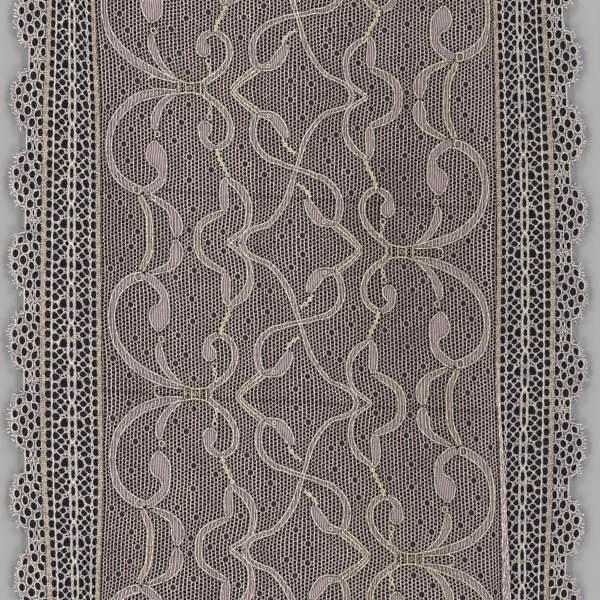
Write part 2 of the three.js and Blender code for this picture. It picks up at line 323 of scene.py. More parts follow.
# The strip lies a little bowed: where its lengthwise lines lie, and how far it is tilted, lifted and
# pulled aside, from its top to its bottom at even steps
LINE_TOP = 78.0
LINE_STEP = 31.2
STRIP_LINES = {
    "left_outer": (-64.6, -65.7, -66.2, -66.5, -66.0, -64.5),
    "left_spine": (-58.8, -58.7, -59.0, -58.9, -58.5, -57.9),
    "left_inner": (-53.4, -52.2, -52.0, -51.7, -51.35, -52.2),
    "left_tilt": (0.20, 0.16, 0.11, 0.07, 0.05, 0.03),
    "left_lift": (1.9, 0.45, 1.1, 0.4, -0.9, -0.4),
    "inner_lift": (-1.6, -0.1, -0.2, -0.25, -0.1, -0.3),
    "left_pull": (-0.26, -0.26, -0.26, 0.52, -0.13, -0.9),
    "middle_pull": (0.78, -0.26, -0.52, 0.6, 0.44, 0.0),
    "right_pull": (1.6, 0.26, -0.7, 0.52, 0.78, 1.3),
    "right_inner": (51.3, 52.0, 52.2, 52.1, 53.0, 53.6),
    "right_heading": (51.3, 52.0, 52.35, 52.0, 52.0, 51.6),
    "right_spine": (57.6, 58.4, 59.0, 59.1, 58.4, 58.3),
    "right_outer": (63.8, 65.4, 66.3, 66.2, 65.6, 64.5),
    "right_tilt": (0.0, 0.02, 0.01, 0.0, 0.0, 0.02),
}

# Where the pulls of the panel's halves are full, and how far from its edges they fade. The lift of the
# panel's inside comes on, stays and goes between four places across it, and that of its left side
# comes on as the other goes.
PULL_PLACE = 36.0
PULL_HOLD = 4.2
LIFT_PLACES = (4.0, 14.0, 29.0, 40.0)
# Beyond its outer braid an edging is tilted by half
SCALLOP_TILT = 0.5

# The two edgings: side, pitch of their paired D gaps, the place of one scallop notch, and the line of
# the inner braid. The panel's edge lies over the right heading near its lower end.
EDGINGS = (
    {"name": "left", "side": -1, "pitch": 10.34, "notch": -0.9, "heading": "left_inner"},
    {"name": "right", "side": 1, "pitch": 10.19, "notch": 12.25, "heading": "right_heading"},
)

# A quarter of the scroll repeat, left half. A row is one section of a ribbon: how far out it is from the
# panel's middle line, how far below the knot's line, and how wide the ribbon is there.
RIBBONS = {
    "loop": (
        (31, 1.51, 0.9), (34, 1.98, 1.5), (36.6, 2.67, 2.0), (41.2, 4.46, 2.1), (44.9, 7.28, 2.0),
        (47.9, 11.28, 1.65), (49, 15.99, 1.4), (48.9, 19.73, 1.45), (47.7, 23.78, 1.8), (45.4, 26.45, 2.1),
        (42.85, 28.08, 2.2), (40.3, 28.79, 2.0),
    ),
    "drop": (
        (37.05, 15.12, 0.5), (37.05, 16.61, 3.5), (36.7, 18.86, 5.2), (36, 20.3, 4.6), (35.4, 21.52, 3.1),
        (35.1, 23.69, 1.8), (35.7, 25.7, 2.0), (38.2, 28.03, 2.1), (40, 28.89, 1.8),
    ),
    "neck": (
        (37, 12.1, 0.6), (37, 10.46, 1.8), (36.8, 8.92, 2.1), (36, 6.97, 1.8), (34.9, 5.1, 1.5),
        (33.2, 3.45, 1.2), (31.4, 2.11, 0.8),
    ),
    "stem": (
        (40.8, 30.11, 0.9), (40, 32.09, 1.3), (38.95, 34.16, 1.5), (38.5, 36.7, 1.4), (38.5, 39.9, 1.6),
    ),
    "bead": (
        (38.3, 29.83, 0.9), (34.9, 31.43, 1.6), (33.1, 32.63, 1.9), (31.8, 34.5, 2.7), (31.5, 36.25, 3.3),
        (31.3, 37.68, 2.6), (31.7, 39.51, 0.9),
    ),
    "small_loop": (
        (24.3, 1.15, 1.5), (22.65, 2.55, 1.4), (20.25, 4.4, 1.4), (18.45, 6.5, 1.4), (17.4, 8.85, 1.3),
        (17.15, 11.0, 1.3), (17.65, 13.2, 1.3), (18.9, 14.7, 1.4), (20.9, 15.95, 1.3),
    ),
    "small_drop": (
        (23.95, 8.75, 0.6), (23.9, 9.6, 2.8), (23.85, 10.55, 3.5), (24.1, 11.8, 2.9), (24.45, 13.1, 1.7),
        (23.5, 14.55, 1.6), (21.5, 15.85, 1.2),
    ),
    "twist": ((20.9, 15.9, 0.9), (20.05, 18.6, 1.1), (18.95, 20.4, 1.15), (17.85, 23.0, 1.1)),
    "leaf": (
        (18.1, 23.5, 1.0), (18.85, 24.75, 1.6), (19.0, 26.75, 2.1), (18.9, 28.9, 2.2), (18.75, 30.75, 1.8),
        (18.95, 32.0, 0.6),
    ),
    "hook": (
        (17.85, 23.2, 1.0), (17.2, 24.1, 1.3), (15.4, 25.3, 1.8), (13.95, 26.9, 2.1), (12.9, 28.85, 1.8),
        (12.45, 30.85, 1.6), (12.55, 33.25, 1.3), (12.95, 35.25, 1.2), (14.1, 36.95, 1.1),
        (16.65, 38.85, 1.0), (18.1, 39.95, 1.0),
    ),
    "wave": (
        (18.95, 32.0, 1.0), (21.35, 33.2, 1.5), (23.15, 34.2, 1.6), (25.0, 35.75, 1.6), (25.9, 37.8, 1.6),
        (26.0, 39.9, 1.6),
    ),
    "diamond": (
        (14.3, 39.9, 1.5), (13.0, 37.25, 1.3), (10.4, 35.9, 1.2), (7.65, 34.85, 1.2), (5.45, 32.75, 1.25),
        (3.6, 30.1, 1.35), (2.3, 27.7, 1.5), (1.4, 24.9, 1.3), (0.75, 22.3, 1.0), (0.0, 19.95, 0.9),
    ),
    "chevron": ((16.6, 0.0, 1.3), (15.85, 1.1, 1.4), (14.05, 2.9, 1.6), (11.9, 4.6, 1.9), (10.05, 6.0, 2.0)),
    "arc": (
        (9.85, 6.3, 1.4), (10.8, 7.65, 1.5), (11.4, 9.85, 1.6), (11.35, 12.2, 1.6), (10.5, 14.6, 1.4),
        (9.1, 16.35, 1.3), (6.9, 17.9, 1.3), (4.75, 18.5, 1.1), (2.95, 19.2, 1.0), (0.0, 19.95, 0.9),
    ),
    "petal": (
        (9.85, 6.1, 1.2), (8.0, 6.3, 1.9), (5.9, 7.05, 2.6), (4.45, 8.85, 2.9), (3.4, 10.6, 2.3),
        (2.85, 12.2, 1.2),
    ),
    "tail": ((3.7, 12.65, 0.9), (2.35, 14.6, 0.9), (0.1, 16.15, 0.9)),
    "across": ((31.2, 2.1, 0.5), (29.3, 1.55, 0.5), (27.6, 1.3, 0.5), (25.6, 1.55, 0.5), (23.7, 2.1, 0.5)),
    "keyhole": ((36.4, 1.55, 0.5), (37.6, 1.3, 0.5), (38.3, 0.75, 0.5), (38.5, 0.0, 0.5)),
    "vee": ((23.75, 0.6, 0.5), (23.7, 0.45, 0.5), (23.62, 0.3, 0.5), (23.55, 0.15, 0.5), (23.5, 0.0, 0.5)),
    "far_bar": ((30.45, 1.5, 0.5), (30.45, 0.7, 0.5), (30.45, 0.0, 0.5)),
    "knot_bar": ((28.65, 1.3, 0.5), (28.65, 0.6, 0.5), (28.65, 0.0, 0.5)),
    "ring_bar": ((26.55, 1.3, 0.5), (26.55, 0.6, 0.5), (26.55, 0.0, 0.5)),
    "near_bar": ((24.8, 1.5, 0.5), (24.8, 0.7, 0.5), (24.8, 0.0, 0.5)),
    "link": ((22.7, 6.9, 0.9), (22.4, 5.2, 0.9), (21.9, 3.4, 0.9)),
}
# Ribbons that are single cords or twisted pairs, with no clothwork
SINGLE = ("across", "keyhole", "vee", "far_bar", "knot_bar", "ring_bar", "near_bar")
TWISTED = ("twist", "tail", "link")
# Ribbons with a cord along their middle too
FILLED = ("twist", "tail", "chevron")
# Ribbons with dense clothwork
DENSE = ("drop", "small_drop", "leaf", "petal", "neck")
# Ribbons whose widths are other in the panel's right half
RIGHT_WIDTHS = {"hook": 0.75, "diamond": 0.75, "wave": 1.2}
# How golden the cords of a ribbon are, from the pale yarn at 0 to the yellowest at 1
GOLD = {
    "loop": 0.12, "drop": 0.05, "neck": 0.15, "stem": 0.65, "bead": 0.25, "small_loop": 0.45,
    "small_drop": 0.25, "twist": 0.85, "leaf": 0.3, "hook": 0.4, "wave": 0.45, "diamond": 0.35,
    "chevron": 0.7, "arc": 0.35, "petal": 0.25, "tail": 0.55, "across": 0.7, "keyhole": 0.2, "link": 0.5,
    "vee": 0.6, "far_bar": 0.6, "knot_bar": 0.6, "ring_bar": 0.6, "near_bar": 0.6,
}
KNOT_GOLD = 0.28
KNOT_GLOW = 6.0
# More gold towards the panel's right, from one place across it to another, and round its lower right corner
RIGHT_GOLD = 0.55
RIGHT_PLACES = (12.0, 32.0)
CORNER_GOLD = 0.5
CORNER = (22.0, -68.0)
CORNER_REACH = 18.0
CLOTH_GOLD = 0.5
NET_GOLD = 0.7
NET_GLOW = 1.3
# Small rings of cord: out, below, radius
RINGS = ((36.3, 13.22, 0.65), (22.7, 7.6, 0.65), (KNOT_OUT, 0, 0.5), (41.7, 28.5, 0.95), (7.25, 6.6, 0.4))
RING_POINTS = 12
RING_TALL = 1.15
RING_GOLD = 0.6
RING_CORE = 1.5

# Gaps of one edging repeat: out from the spine, along from a D pair, wide, tall, and how square the gap is
# (2 is an oval, less is a diamond)
REPEAT_GAPS = (
    (0.0, -0.3, 0.7, 1.5, 2.2), (0.0, -3.1, 0.85, 1.9, 2.2), (0.0, -7.3, 0.95, 2.3, 2.0),
    (1.03, -5.07, 0.7, 1.2, 2.0), (1.72, -3.5, 1.35, 1.75, 1.5), (1.75, -6.6, 1.35, 1.75, 1.5),
    (2.75, -2.4, 1.5, 1.9, 1.5), (2.75, -4.9, 1.5, 1.9, 1.5), (2.75, -7.4, 1.5, 1.9, 1.5),
    (3.83, 1.3, 1.45, 1.9, 1.9), (3.83, -1.1, 1.45, 1.9, 1.9), (3.83, -3.5, 1.45, 1.9, 1.9),
    (3.83, -6.2, 1.45, 1.9, 1.9), (5.55, 1.9, 1.2, 1.55, 2.4), (5.55, -0.68, 1.2, 1.55, 2.4),
    (5.55, -3.25, 1.2, 1.55, 2.4), (5.55, -5.83, 1.2, 1.55, 2.4),
    (-1.03, -5.07, 0.6, 1.2, 2.0), (-1.75, -3.9, 1.3, 1.75, 1.5), (-1.75, -6.6, 1.3, 1.75, 1.5),
    (-2.75, -2.7, 1.5, 1.9, 1.5), (-2.85, -5.2, 1.5, 1.9, 1.5), (-2.75, -7.9, 1.5, 1.9, 1.5),
    (-3.79, 0.7, 1.65, 2.2, 2.0), (-3.79, -1.7, 1.45, 1.9, 1.9), (-3.95, -4.1, 1.4, 1.9, 1.9),
    (-3.95, -6.7, 1.4, 1.9, 1.9), (-4.79, 1.57, 0.4, 0.5, 2.0), (-4.79, -1.0, 0.4, 0.5, 2.0),
    (-4.79, -3.57, 0.4, 0.5, 2.0), (-4.79, -6.15, 0.4, 0.5, 2.0), (-5.61, 0.3, 1.25, 1.6, 2.4),
    (1.5, -1.9, 0.4, 0.4, 2.0), (2.0, -8.75, 0.5, 0.5, 2.0), (1.35, -8.5, 0.35, 0.45, 2.0),
    (-1.6, -2.2, 0.4, 0.45, 2.0), (-1.5, -8.4, 0.35, 0.45, 2.0), (-2.1, -8.9, 0.4, 0.4, 2.0),
    (-5.61, -2.28, 1.25, 1.6, 2.4), (-5.61, -4.85, 1.25, 1.6, 2.4), (-5.61, -7.43, 1.25, 1.6, 2.4),
)
# The paired D gaps beside the spine, as outlines: out from the spine, along from the pair's middle
OUTER_D = ((1.0, -1.2), (0.98, -0.1), (1.05, 0.95), (1.45, 1.14), (2.0, 1.02), (2.5, 0.6), (2.82, -0.1),
           (2.9, -0.8), (2.6, -1.22), (1.8, -1.27))
INNER_D = ((-1.15, 0.95), (-1.12, -0.4), (-1.15, -1.42), (-1.75, -1.5), (-2.4, -1.28), (-2.8, -0.75),
           (-2.7, -0.15), (-2.3, 0.5), (-1.7, 0.98))
# Gaps of half a scallop: out beyond the outer braid, along from the scallop's middle, wide, tall, slant
SCALLOP_GAPS = (
    (7.2, 1.7, 1.2, 1.8, -0.05), (6.0, 4.95, 1.1, 1.9, -0.35), (5.15, 0.0, 1.3, 2.4, 0.0),
    (4.65, 2.85, 1.3, 2.4, 0.1), (3.5, 6.0, 1.3, 2.5, 0.15), (3.05, 1.45, 1.2, 2.4, 0.0),
    (2.0, 3.7, 1.2, 2.6, 0.25), (1.25, 0.0, 1.2, 2.9, 0.0), (1.15, 5.6, 1.2, 2.2, 0.1),
    (4.1, 8.45, 1.05, 2.2, 0.0), (2.6, 8.4, 0.6, 1.9, 0.0), (1.25, 8.45, 1.1, 2.2, 0.0),
)
# Small holes of the bar across a notch: out beyond the outer braid, along from the notch, wide, tall
NOTCH_GAPS = ((1.2, 0.3, 0.8, 0.5), (2.2, -0.2, 0.35, 0.4), (2.9, 0.35, 0.35, 0.4), (3.6, -0.1, 0.35, 0.4))


# Lines and chart places

def spline(rows, place):
    """Smooth curve through rows of numbers, at places counted in rows."""
    last = len(rows) - 1
    i = np.clip(np.floor(place).astype(int), 0, last - 1)
    w = place - i
    if rows.ndim > 1:
        w = w[..., None]
    before, start = rows[np.maximum(i - 1, 0)], rows[i]
    end, after = rows[i + 1], rows[np.minimum(i + 2, last)]
    leave, arrive = (end - before) / 2, (after - start) / 2
    bend = (2 * start - 2 * end + leave + arrive) * w**3
    return bend + (3 * end - 3 * start - 2 * leave - arrive) * w**2 + leave * w + start


def line_at(name, along):
    """Place of a lengthwise line, or size of a tilt, at a distance along the strip."""
    rows = np.array(STRIP_LINES[name])
    return spline(rows, np.clip((LINE_TOP - along) / LINE_STEP, 0, len(rows) - 1))


def net_point(across, along):
    """A point of the panel's chart, where it lies on the strip: between its edges, drawn aside and along."""
    level = along - COURSE_SLOPE * across
    inside = np.interp(np.abs(across), LIFT_PLACES, (0, 1, 1, 0))
    outside = np.interp(-across, LIFT_PLACES, (0, 0, 0, 1))
    y = level + inside * line_at("inner_lift", level) + outside * line_at("left_lift", level)
    left, right = line_at("left_inner", y), line_at("right_inner", y)
    x = (left + right) / 2 + across * (right - left) / (2 * NET_HALF)
    towards_edge = np.clip(np.abs(across) / PULL_PLACE, 0, 1)
    held = np.clip((NET_HALF - np.abs(across)) / PULL_HOLD, 0, 1)
    aside = np.where(across < 0, line_at("left_pull", y), line_at("right_pull", y))
    x = x + held * towards_edge * aside + (1 - towards_edge) * line_at("middle_pull", y)
    return np.stack([x, y], -1)


def edging_point(edging, out, along):
    """A point of an edging's chart, measured outwards from its spine, where it lies on the strip."""
    name, side = edging["name"], edging["side"]
    tilted = out - (1 - SCALLOP_TILT) * np.maximum(out - OUTER_BRAID, 0)
    y = along + line_at(name + "_tilt", along) * tilted
    spine = line_at(name + "_spine", y)
    outer = line_at(name + "_outer", y)
    inner = line_at(edging["heading"], y)
    outside = spine + (outer - spine) * out / OUTER_BRAID
    inside = spine + (inner - spine) * out / INNER_BRAID
    x = np.where(out > 0, outside, inside)
    x = np.where(out > OUTER_BRAID, outer + side * (out - OUTER_BRAID), x)
    x = np.where(out < INNER_BRAID, inner + side * (out - INNER_BRAID), x)
    return np.stack([x, y], -1)


def past_ends(step, overrun=LENGTHWISE_OVERRUN):
    """Places along the strip at even steps, from beyond one cut end to beyond the other."""
    return np.arange(-HALF_LENGTH - overrun, HALF_LENGTH + overrun, step)


def raised(flat_points, height):
    """Flat points at a height, or at a height each."""
    heights = np.broadcast_to(height, flat_points.shape[:-1])
    return np.concatenate([flat_points, heights[..., None]], -1)


# Meshes

class Threads:
    """Points and faces of one piece, gathered thread by thread.

    Each point has two shades: how golden its yarn is, and its core, a brightness that paints shade: dark
    on a thread's sides and underside, bright at its core, with some random tone.
    Each face has one: whether it belongs to a thread across the others.
    """

    def __init__(self):
        self.points, self.faces, self.count = [], [], 0
        self.shades = {"gold": [], "core": []}
        self.crossing = []

    def add(self, points, faces, gold=0.0, core=1.0, crossing=None):
        """Points, and arrays of faces that number them from 0."""
        self.points.append(points)
        self.crossing += [np.zeros(len(f)) for f in faces] if crossing is None else crossing
        self.shades["gold"].append(np.broadcast_to(gold, len(points)))
        self.shades["core"].append(np.broadcast_to(core, len(points)))
        self.faces += [f + self.count for f in faces]
        self.count += len(points)

    def tube(self, line, radius, sides=4, closed=False, gold=0.0, core=1.0):
        """A thread along a line of points. Its radius may change from point to point."""
        ahead = np.roll(line, -1, 0) - np.roll(line, 1, 0) if closed else np.gradient(line, axis=0)
        length = np.maximum(np.hypot(ahead[:, 0], ahead[:, 1]), TINY)
        aside = np.stack([-ahead[:, 1] / length, ahead[:, 0] / length, np.zeros(len(line))], -1)
        turn = 2 * np.pi * np.arange(sides) / sides
        ring = aside[:, None] * np.cos(turn)[:, None] + np.array((0, 0, 1)) * np.sin(turn)[:, None]
        points = line[:, None] + np.broadcast_to(radius, len(line))[:, None, None] * ring
        index = np.arange(len(line) * sides).reshape(len(line), sides)
        if closed:
            index = np.concatenate([index, index[:1]])
        beside = np.roll(index, -1, 1)
        walls = np.stack([index[:-1], beside[:-1], beside[1:], index[1:]], -1).reshape(-1, 4)
        ends = [] if closed else [index[:1, ::-1], index[-1:]]
        gold = np.repeat(np.broadcast_to(gold, len(line)), sides)
        # Painted shade: each ring of the tube is bright at its top and black at its underside
        core = np.broadcast_to(core, len(line))[:, None] * (0.5 + 0.5 * np.sin(turn))
        self.add(points.reshape(-1, 3), [walls, *ends], gold, core.ravel())

    def build(self, name, material):
        """The gathered threads as one smooth piece that rides on the strip."""
        points = np.concatenate(self.points) * MM
        mesh = bpy.data.meshes.new(name)
        mesh.vertices.add(len(points))
        mesh.vertices.foreach_set("co", points.astype(np.float32).ravel())
        corners = np.concatenate([f.ravel() for f in self.faces]).astype(np.int32)
        sizes = np.concatenate([np.full(len(f), f.shape[1]) for f in self.faces])
        mesh.loops.add(len(corners))
        mesh.loops.foreach_set("vertex_index", corners)
        mesh.polygons.add(len(sizes))
        mesh.polygons.foreach_set("loop_start", (np.cumsum(sizes) - sizes).astype(np.int32))
        mesh.update(calc_edges=True)
        mesh.shade_smooth()
        for shade, values in self.shades.items():
            attribute = mesh.attributes.new(shade, "FLOAT", "POINT")
            attribute.data.foreach_set("value", np.concatenate(values).astype(np.float32))
        attribute = mesh.attributes.new("crossing", "FLOAT", "FACE")
        attribute.data.foreach_set("value", np.concatenate(self.crossing).astype(np.float32))
        mesh.materials.append(material)
        piece = bpy.data.objects.new(name, mesh)
        bpy.context.scene.collection.objects.link(piece)
        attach(piece, "root")
        return piece


# Scrolls on the panel's chart

def sampled(rows, step):
    """A ribbon's rows, smoothed and sampled at about even steps."""
    rows = np.array(rows)
    steps = np.maximum(np.ceil(np.linalg.norm(np.diff(rows[:, :2], axis=0), axis=1) / step), 1).astype(int)
    place = np.concatenate([i + np.arange(n) / n for i, n in enumerate(steps)] + [[len(rows) - 1]])
    return spline(rows, place)


def quarters():
    """Every quarter repeat on the panel: its side, its knot's place along the strip, and its direction."""
    for side in (-1, 1):
        knot = LEFT_KNOT if side < 0 else LEFT_KNOT + SCROLL_REPEAT / 2
        for repeat in range(KNOTS_PER_SIDE):
            for turn in (-1, 1):
                start = knot - repeat * SCROLL_REPEAT
                if abs(start - turn * SCROLL_REPEAT / 4) < HALF_LENGTH + SCROLL_REPEAT / 4:
                    yield side, start, turn


def all_ribbons():
    """Every ribbon of the panel: its name, centre points, widths, and distances from its knot."""
    found = []
    for side, start, turn in quarters():
        for name, rows in RIBBONS.items():
            row = sampled(rows, RIBBON_STEP)
            centre = np.stack([side * row[:, 0], start - turn * row[:, 1]], -1)
            from_knot = np.hypot(row[:, 0] - KNOT_OUT, row[:, 1])
            if (np.abs(centre[:, 1]) < HALF_LENGTH + NET_HALF * COURSE_SLOPE).any():
                wide = row[:, 2] * (RIGHT_WIDTHS.get(name, 1) if side > 0 else 1)
                found.append({"name": name, "centre": centre, "wide": wide, "from_knot": from_knot})
    return found


def ribbon_edges(ribbon):
    """The two edges of a ribbon on the panel's chart."""
    ahead = np.gradient(ribbon["centre"], axis=0)
    ahead /= np.maximum(np.linalg.norm(ahead, axis=1), TINY)[:, None]
    aside = np.stack([-ahead[:, 1], ahead[:, 0]], -1) * ribbon["wide"][:, None] / 2
    return ribbon["centre"] + aside, ribbon["centre"] - aside


def ribbon_gold(ribbon):
    """How golden a ribbon's cords are along it: more so near the knot, and in the panel's right half."""
    near_knot = KNOT_GOLD * np.exp(-((ribbon["from_knot"] / KNOT_GLOW) ** 2))
    rightwards = RIGHT_GOLD * np.interp(ribbon["centre"][:, 0], RIGHT_PLACES, (0, 1))
    from_corner = np.linalg.norm(ribbon["centre"] - CORNER, axis=1)
    near_corner = CORNER_GOLD * np.exp(-((from_corner / CORNER_REACH) ** 2))
    return np.clip(GOLD[ribbon["name"]] + near_knot + rightwards + near_corner, 0, 1)


def cord_lines(ribbon):
    """The cords of a ribbon on the panel's chart: a single one, a twisted pair, or one along each edge."""
    if ribbon["name"] in SINGLE:
        return (ribbon["centre"],)
    near, far = ribbon_edges(ribbon)
    if ribbon["name"] in TWISTED:
        swing = np.cos(2 * np.pi * RIBBON_STEP * np.arange(len(near)) / TWIST_PITCH)[:, None]
        near, far = (ribbon["centre"] + side * swing * (near - far) / 2 for side in (-1, 1))
    return (near, far, ribbon["centre"]) if ribbon["name"] in FILLED else (near, far)


def lattice_places():
    """Places of the net's cells across and along the panel's chart, with a spare cell all round."""
    column, course = np.meshgrid(np.arange(COLUMNS + 2), np.arange(ROWS + 2), indexing="ij")
    across = (column - (COLUMNS + 1) / 2) * COLUMN_PITCH
    along = (course - (ROWS + 1) / 2 + column % 2 / 2) * COURSE_PITCH
    return across, along


def squared_distances(across, along, centres):
    """Squares of the distances from each place to each centre."""
    return (across[:, None] - centres[:, 0]) ** 2 + (along[:, None] - centres[:, 1]) ** 2


def wale_lean(ribbons, across, along):
    """How far each cell is drawn sideways: wales lean with the scrolls near them, and are held in place."""
    centres = np.concatenate([r["centre"][::SPARSE] for r in ribbons])
    ahead = np.concatenate([np.gradient(r["centre"], axis=0)[::SPARSE] for r in ribbons])
    upright = np.abs(ahead[:, 1]) / np.maximum(np.linalg.norm(ahead, axis=1), TINY)
    rise = np.where(np.abs(ahead[:, 1]) < LEAST_RISE, LEAST_RISE, ahead[:, 1])
    lean = np.clip(ahead[:, 0] / rise, -LEAN_MOST, LEAN_MOST)
    wanted = np.zeros_like(across)
    for i in range(len(across)):
        weight = np.exp(-squared_distances(across[i], along[i], centres) / (2 * LEAN_REACH**2)) * upright
        wanted[i] = LEAN_SHARE * (weight @ lean) / (weight.sum(1) + LEAN_CALM)
    rows = across.shape[1]
    slope = (np.eye(rows, k=1) - np.eye(rows))[:-1] / COURSE_PITCH
    held = slope.T @ slope + np.eye(rows) / WALE_HOLD**2
    return np.linalg.solve(held, slope.T @ wanted[:, :-1].T).T


def lean_at(leaning, across, along):
    """The sideways draw at any place of the panel's chart."""
    i = np.clip(across / COLUMN_PITCH + (COLUMNS + 1) / 2, 0, COLUMNS + ALMOST_ONE)
    j = np.clip(along / COURSE_PITCH + (ROWS + 1) / 2, 0, ROWS + ALMOST_ONE)
    column, course = i.astype(int), j.astype(int)
    u, v = i - column, j - course
    low = leaning[column, course] * (1 - u) + leaning[column + 1, course] * u
    high = leaning[column, course + 1] * (1 - u) + leaning[column + 1, course + 1] * u
    return low * (1 - v) + high * v


# Net

def under_ribbons(ribbons, across, along):
    """Which cells lie under a ribbon's clothwork."""
    cloth = [r for r in ribbons if r["name"] not in SINGLE + TWISTED]
    centres = np.concatenate([r["centre"] for r in cloth])
    reach = np.concatenate([np.maximum(r["wide"] / 2 - COVER_MARGIN, 0) for r in cloth])
    covered = np.zeros(across.shape, bool)
    for i in range(len(across)):
        covered[i] = (squared_distances(across[i], along[i], centres) < reach**2).any(1)
    return covered


def gold_near(ribbons, places):
    """How golden the net is: its threads take on some of the colour of the cords beside them."""
    centres = np.concatenate([r["centre"][::SPARSE] for r in ribbons])
    golden = np.concatenate([ribbon_gold(r)[::SPARSE] for r in ribbons])
    gold = np.zeros(len(places))
    for part in np.array_split(np.arange(len(places)), COLUMNS):
        glow = np.exp(-squared_distances(places[part, 0], places[part, 1], centres) / NET_GLOW**2)
        gold[part] = (glow * golden).max(1)
    return NET_GOLD * gold


def closeness(places):
    """How close the net lies at places on the strip: above 0 its holes are smaller."""
    close = np.zeros(places.shape[:-1])
    for x, y, reach_across, reach_along, amount in NET_CLOSE:
        away = ((places[..., 0] - x) / reach_across) ** 2 + ((places[..., 1] - y) / reach_along) ** 2
        close += amount * np.exp(-away)
    return close


def beside(column, course):
    """Neighbours of cells across each of their six sides, from the upper right one round to the left."""
    up = course + column % 2
    return (
        (column + 1, up), (column, course + 1), (column - 1, up),
        (column - 1, up - 1), (column, course - 1), (column + 1, up - 1),
    )


def cell_corners(column, course):
    """Numbers of a cell's six corners, from the right one round to the left. Each cell owns two of them."""
    rows = ROWS + 2
    up = course + column % 2
    around = (
        (column, course, 1), (column + 1, up, 0), (column - 1, up, 1),
        (column, course, 0), (column - 1, up - 1, 1), (column + 1, up - 1, 0),
    )
    return np.stack([(i * rows + j) * 2 + end for i, j, end in around], -1)


def eyelet_cells(part):
    """The lower cell of each eyelet's pair: those nearest to the chart's places and clear of scrolls."""
    found, free = [], part.copy()
    for side, start, turn in quarters():
        for out, below in EYELETS:
            i = int(round(side * out / COLUMN_PITCH + (COLUMNS + 1) / 2))
            j = int(round((start - turn * below) / COURSE_PITCH + (ROWS + 1) / 2 - (i % 2) / 2 - 0.5))
            column_fits = EYELET_MARGIN < i < COLUMNS + 1 - EYELET_MARGIN
            course_fits = EYELET_MARGIN < j < ROWS - EYELET_MARGIN
            around = free[i - 1:i + 2, j - 1:j + 3]
            if column_fits and course_fits and part[i, j] >= 0 and (around == part[i, j]).all():
                found.append((i, j))
                around[:] = -1
    return found


def net_panel(ribbons, leaning, material):
    """The net as closed pieces, one above the other along the strip."""
    across, along = lattice_places()
    places = net_point(across + leaning, along)
    covered = under_ribbons(ribbons, across + leaning, along)
    outside = (np.abs(places[..., 1]) > NET_END) | covered
    outside[[0, -1]] = True
    outside[:, [0, -1]] = True
    thirds = np.floor((along / HALF_LENGTH + 1) / 2 * len(NET_PIECES))
    part = np.where(outside, -1, np.clip(thirds, 0, len(NET_PIECES) - 1)).astype(int)

    # Corners of the cells, each shared by three cells
    reach = COLUMN_PITCH / 2 + COURSE_PITCH**2 / (8 * COLUMN_PITCH)
    sides = np.stack([across - reach, across + reach], -1) + leaning[..., None]
    corners = np.stack([sides, np.repeat(along[..., None], 2, -1)], -1).reshape(-1, 2)
    corners = corners + random.normal(0, VERTEX_JITTER, corners.shape)
    tops = THREAD_TOP + random.normal(0, HEIGHT_JITTER, len(corners))
    wales = np.repeat(random.normal(0, WALE_SHADE, COLUMNS + 2), (ROWS + 2) * 2)
    bright = np.clip(THREAD_CORE + wales + random.normal(0, POINT_SHADE, len(corners)), 0, 1)

    # Eyelets: two cells of one column joined into an oval
    gold = gold_near(ribbons, corners)
    eyelets, eyelet_rings, shut = eyelet_cells(part), [], np.zeros(part.shape, bool)
    angles = np.radians(EYELET_ANGLES)
    oval = np.stack([EYELET_ACROSS * np.cos(angles), EYELET_ALONG * np.sin(angles)], -1)
    plain = part.copy()
    for i, j in eyelets:
        low, high = cell_corners(np.array(i), np.array(j)), cell_corners(np.array(i), np.array(j + 1))
        ring = np.array([low[0], low[1], high[0], high[1], high[2], high[3], low[2], low[3], low[4], low[5]])
        corners[ring] = corners[ring].mean(0) + oval
        eyelet_rings.append(ring)
        plain[i, j:j + 2] = -1
        shut[[i - 1, i + 1], j + i % 2] = True
    eyelet_rings = np.array(eyelet_rings)
    eyelet_part = np.array([part[i, j] for i, j in eyelets])

    placed = net_point(corners[:, 0], corners[:, 1])
    # Painted shade: threads dimmer where the net lies close
    bright = bright * (1 - CLOSE_SHADE * np.maximum(closeness(placed), 0))
    close = closeness(places)

    # Cells of each piece: plain ones, those beside an eyelet, and the eyelets
    draw = np.full((6, 2), (ACROSS_DRAW, ALONG_DRAW))
    draw[[0, 3], 0] = SIDE_DRAW
    kinds = ((~shut, draw, THREAD_RIM, RIM_CORE), (shut, CLOSED_DRAW, CLOSED_RIM, CLOSED_CORE))
    pieces = []
    for number, name in enumerate(NET_PIECES):
        threads = Threads()
        groups = []
        for chosen, drawn, height, core in kinds:
            column, course = np.nonzero((plain == number) & chosen)
            open_sides = np.stack([part[i, j] != number for i, j in beside(column, course)], -1)
            smaller = drawn * (1 - close[column, course])[:, None, None]
            groups.append((cell_corners(column, course), smaller, open_sides, CROSS_SIDES, height, core))
        ovals = eyelet_rings[eyelet_part == number]
        closed = np.zeros(ovals.shape, bool)
        groups.append((ovals, EYELET_DRAW, closed, EYELET_CROSS, THREAD_RIM, EYELET_RIM_CORE))
        add_cells(threads, placed, tops, bright, gold, groups)
        pieces.append(threads.build(name, material))
    return pieces


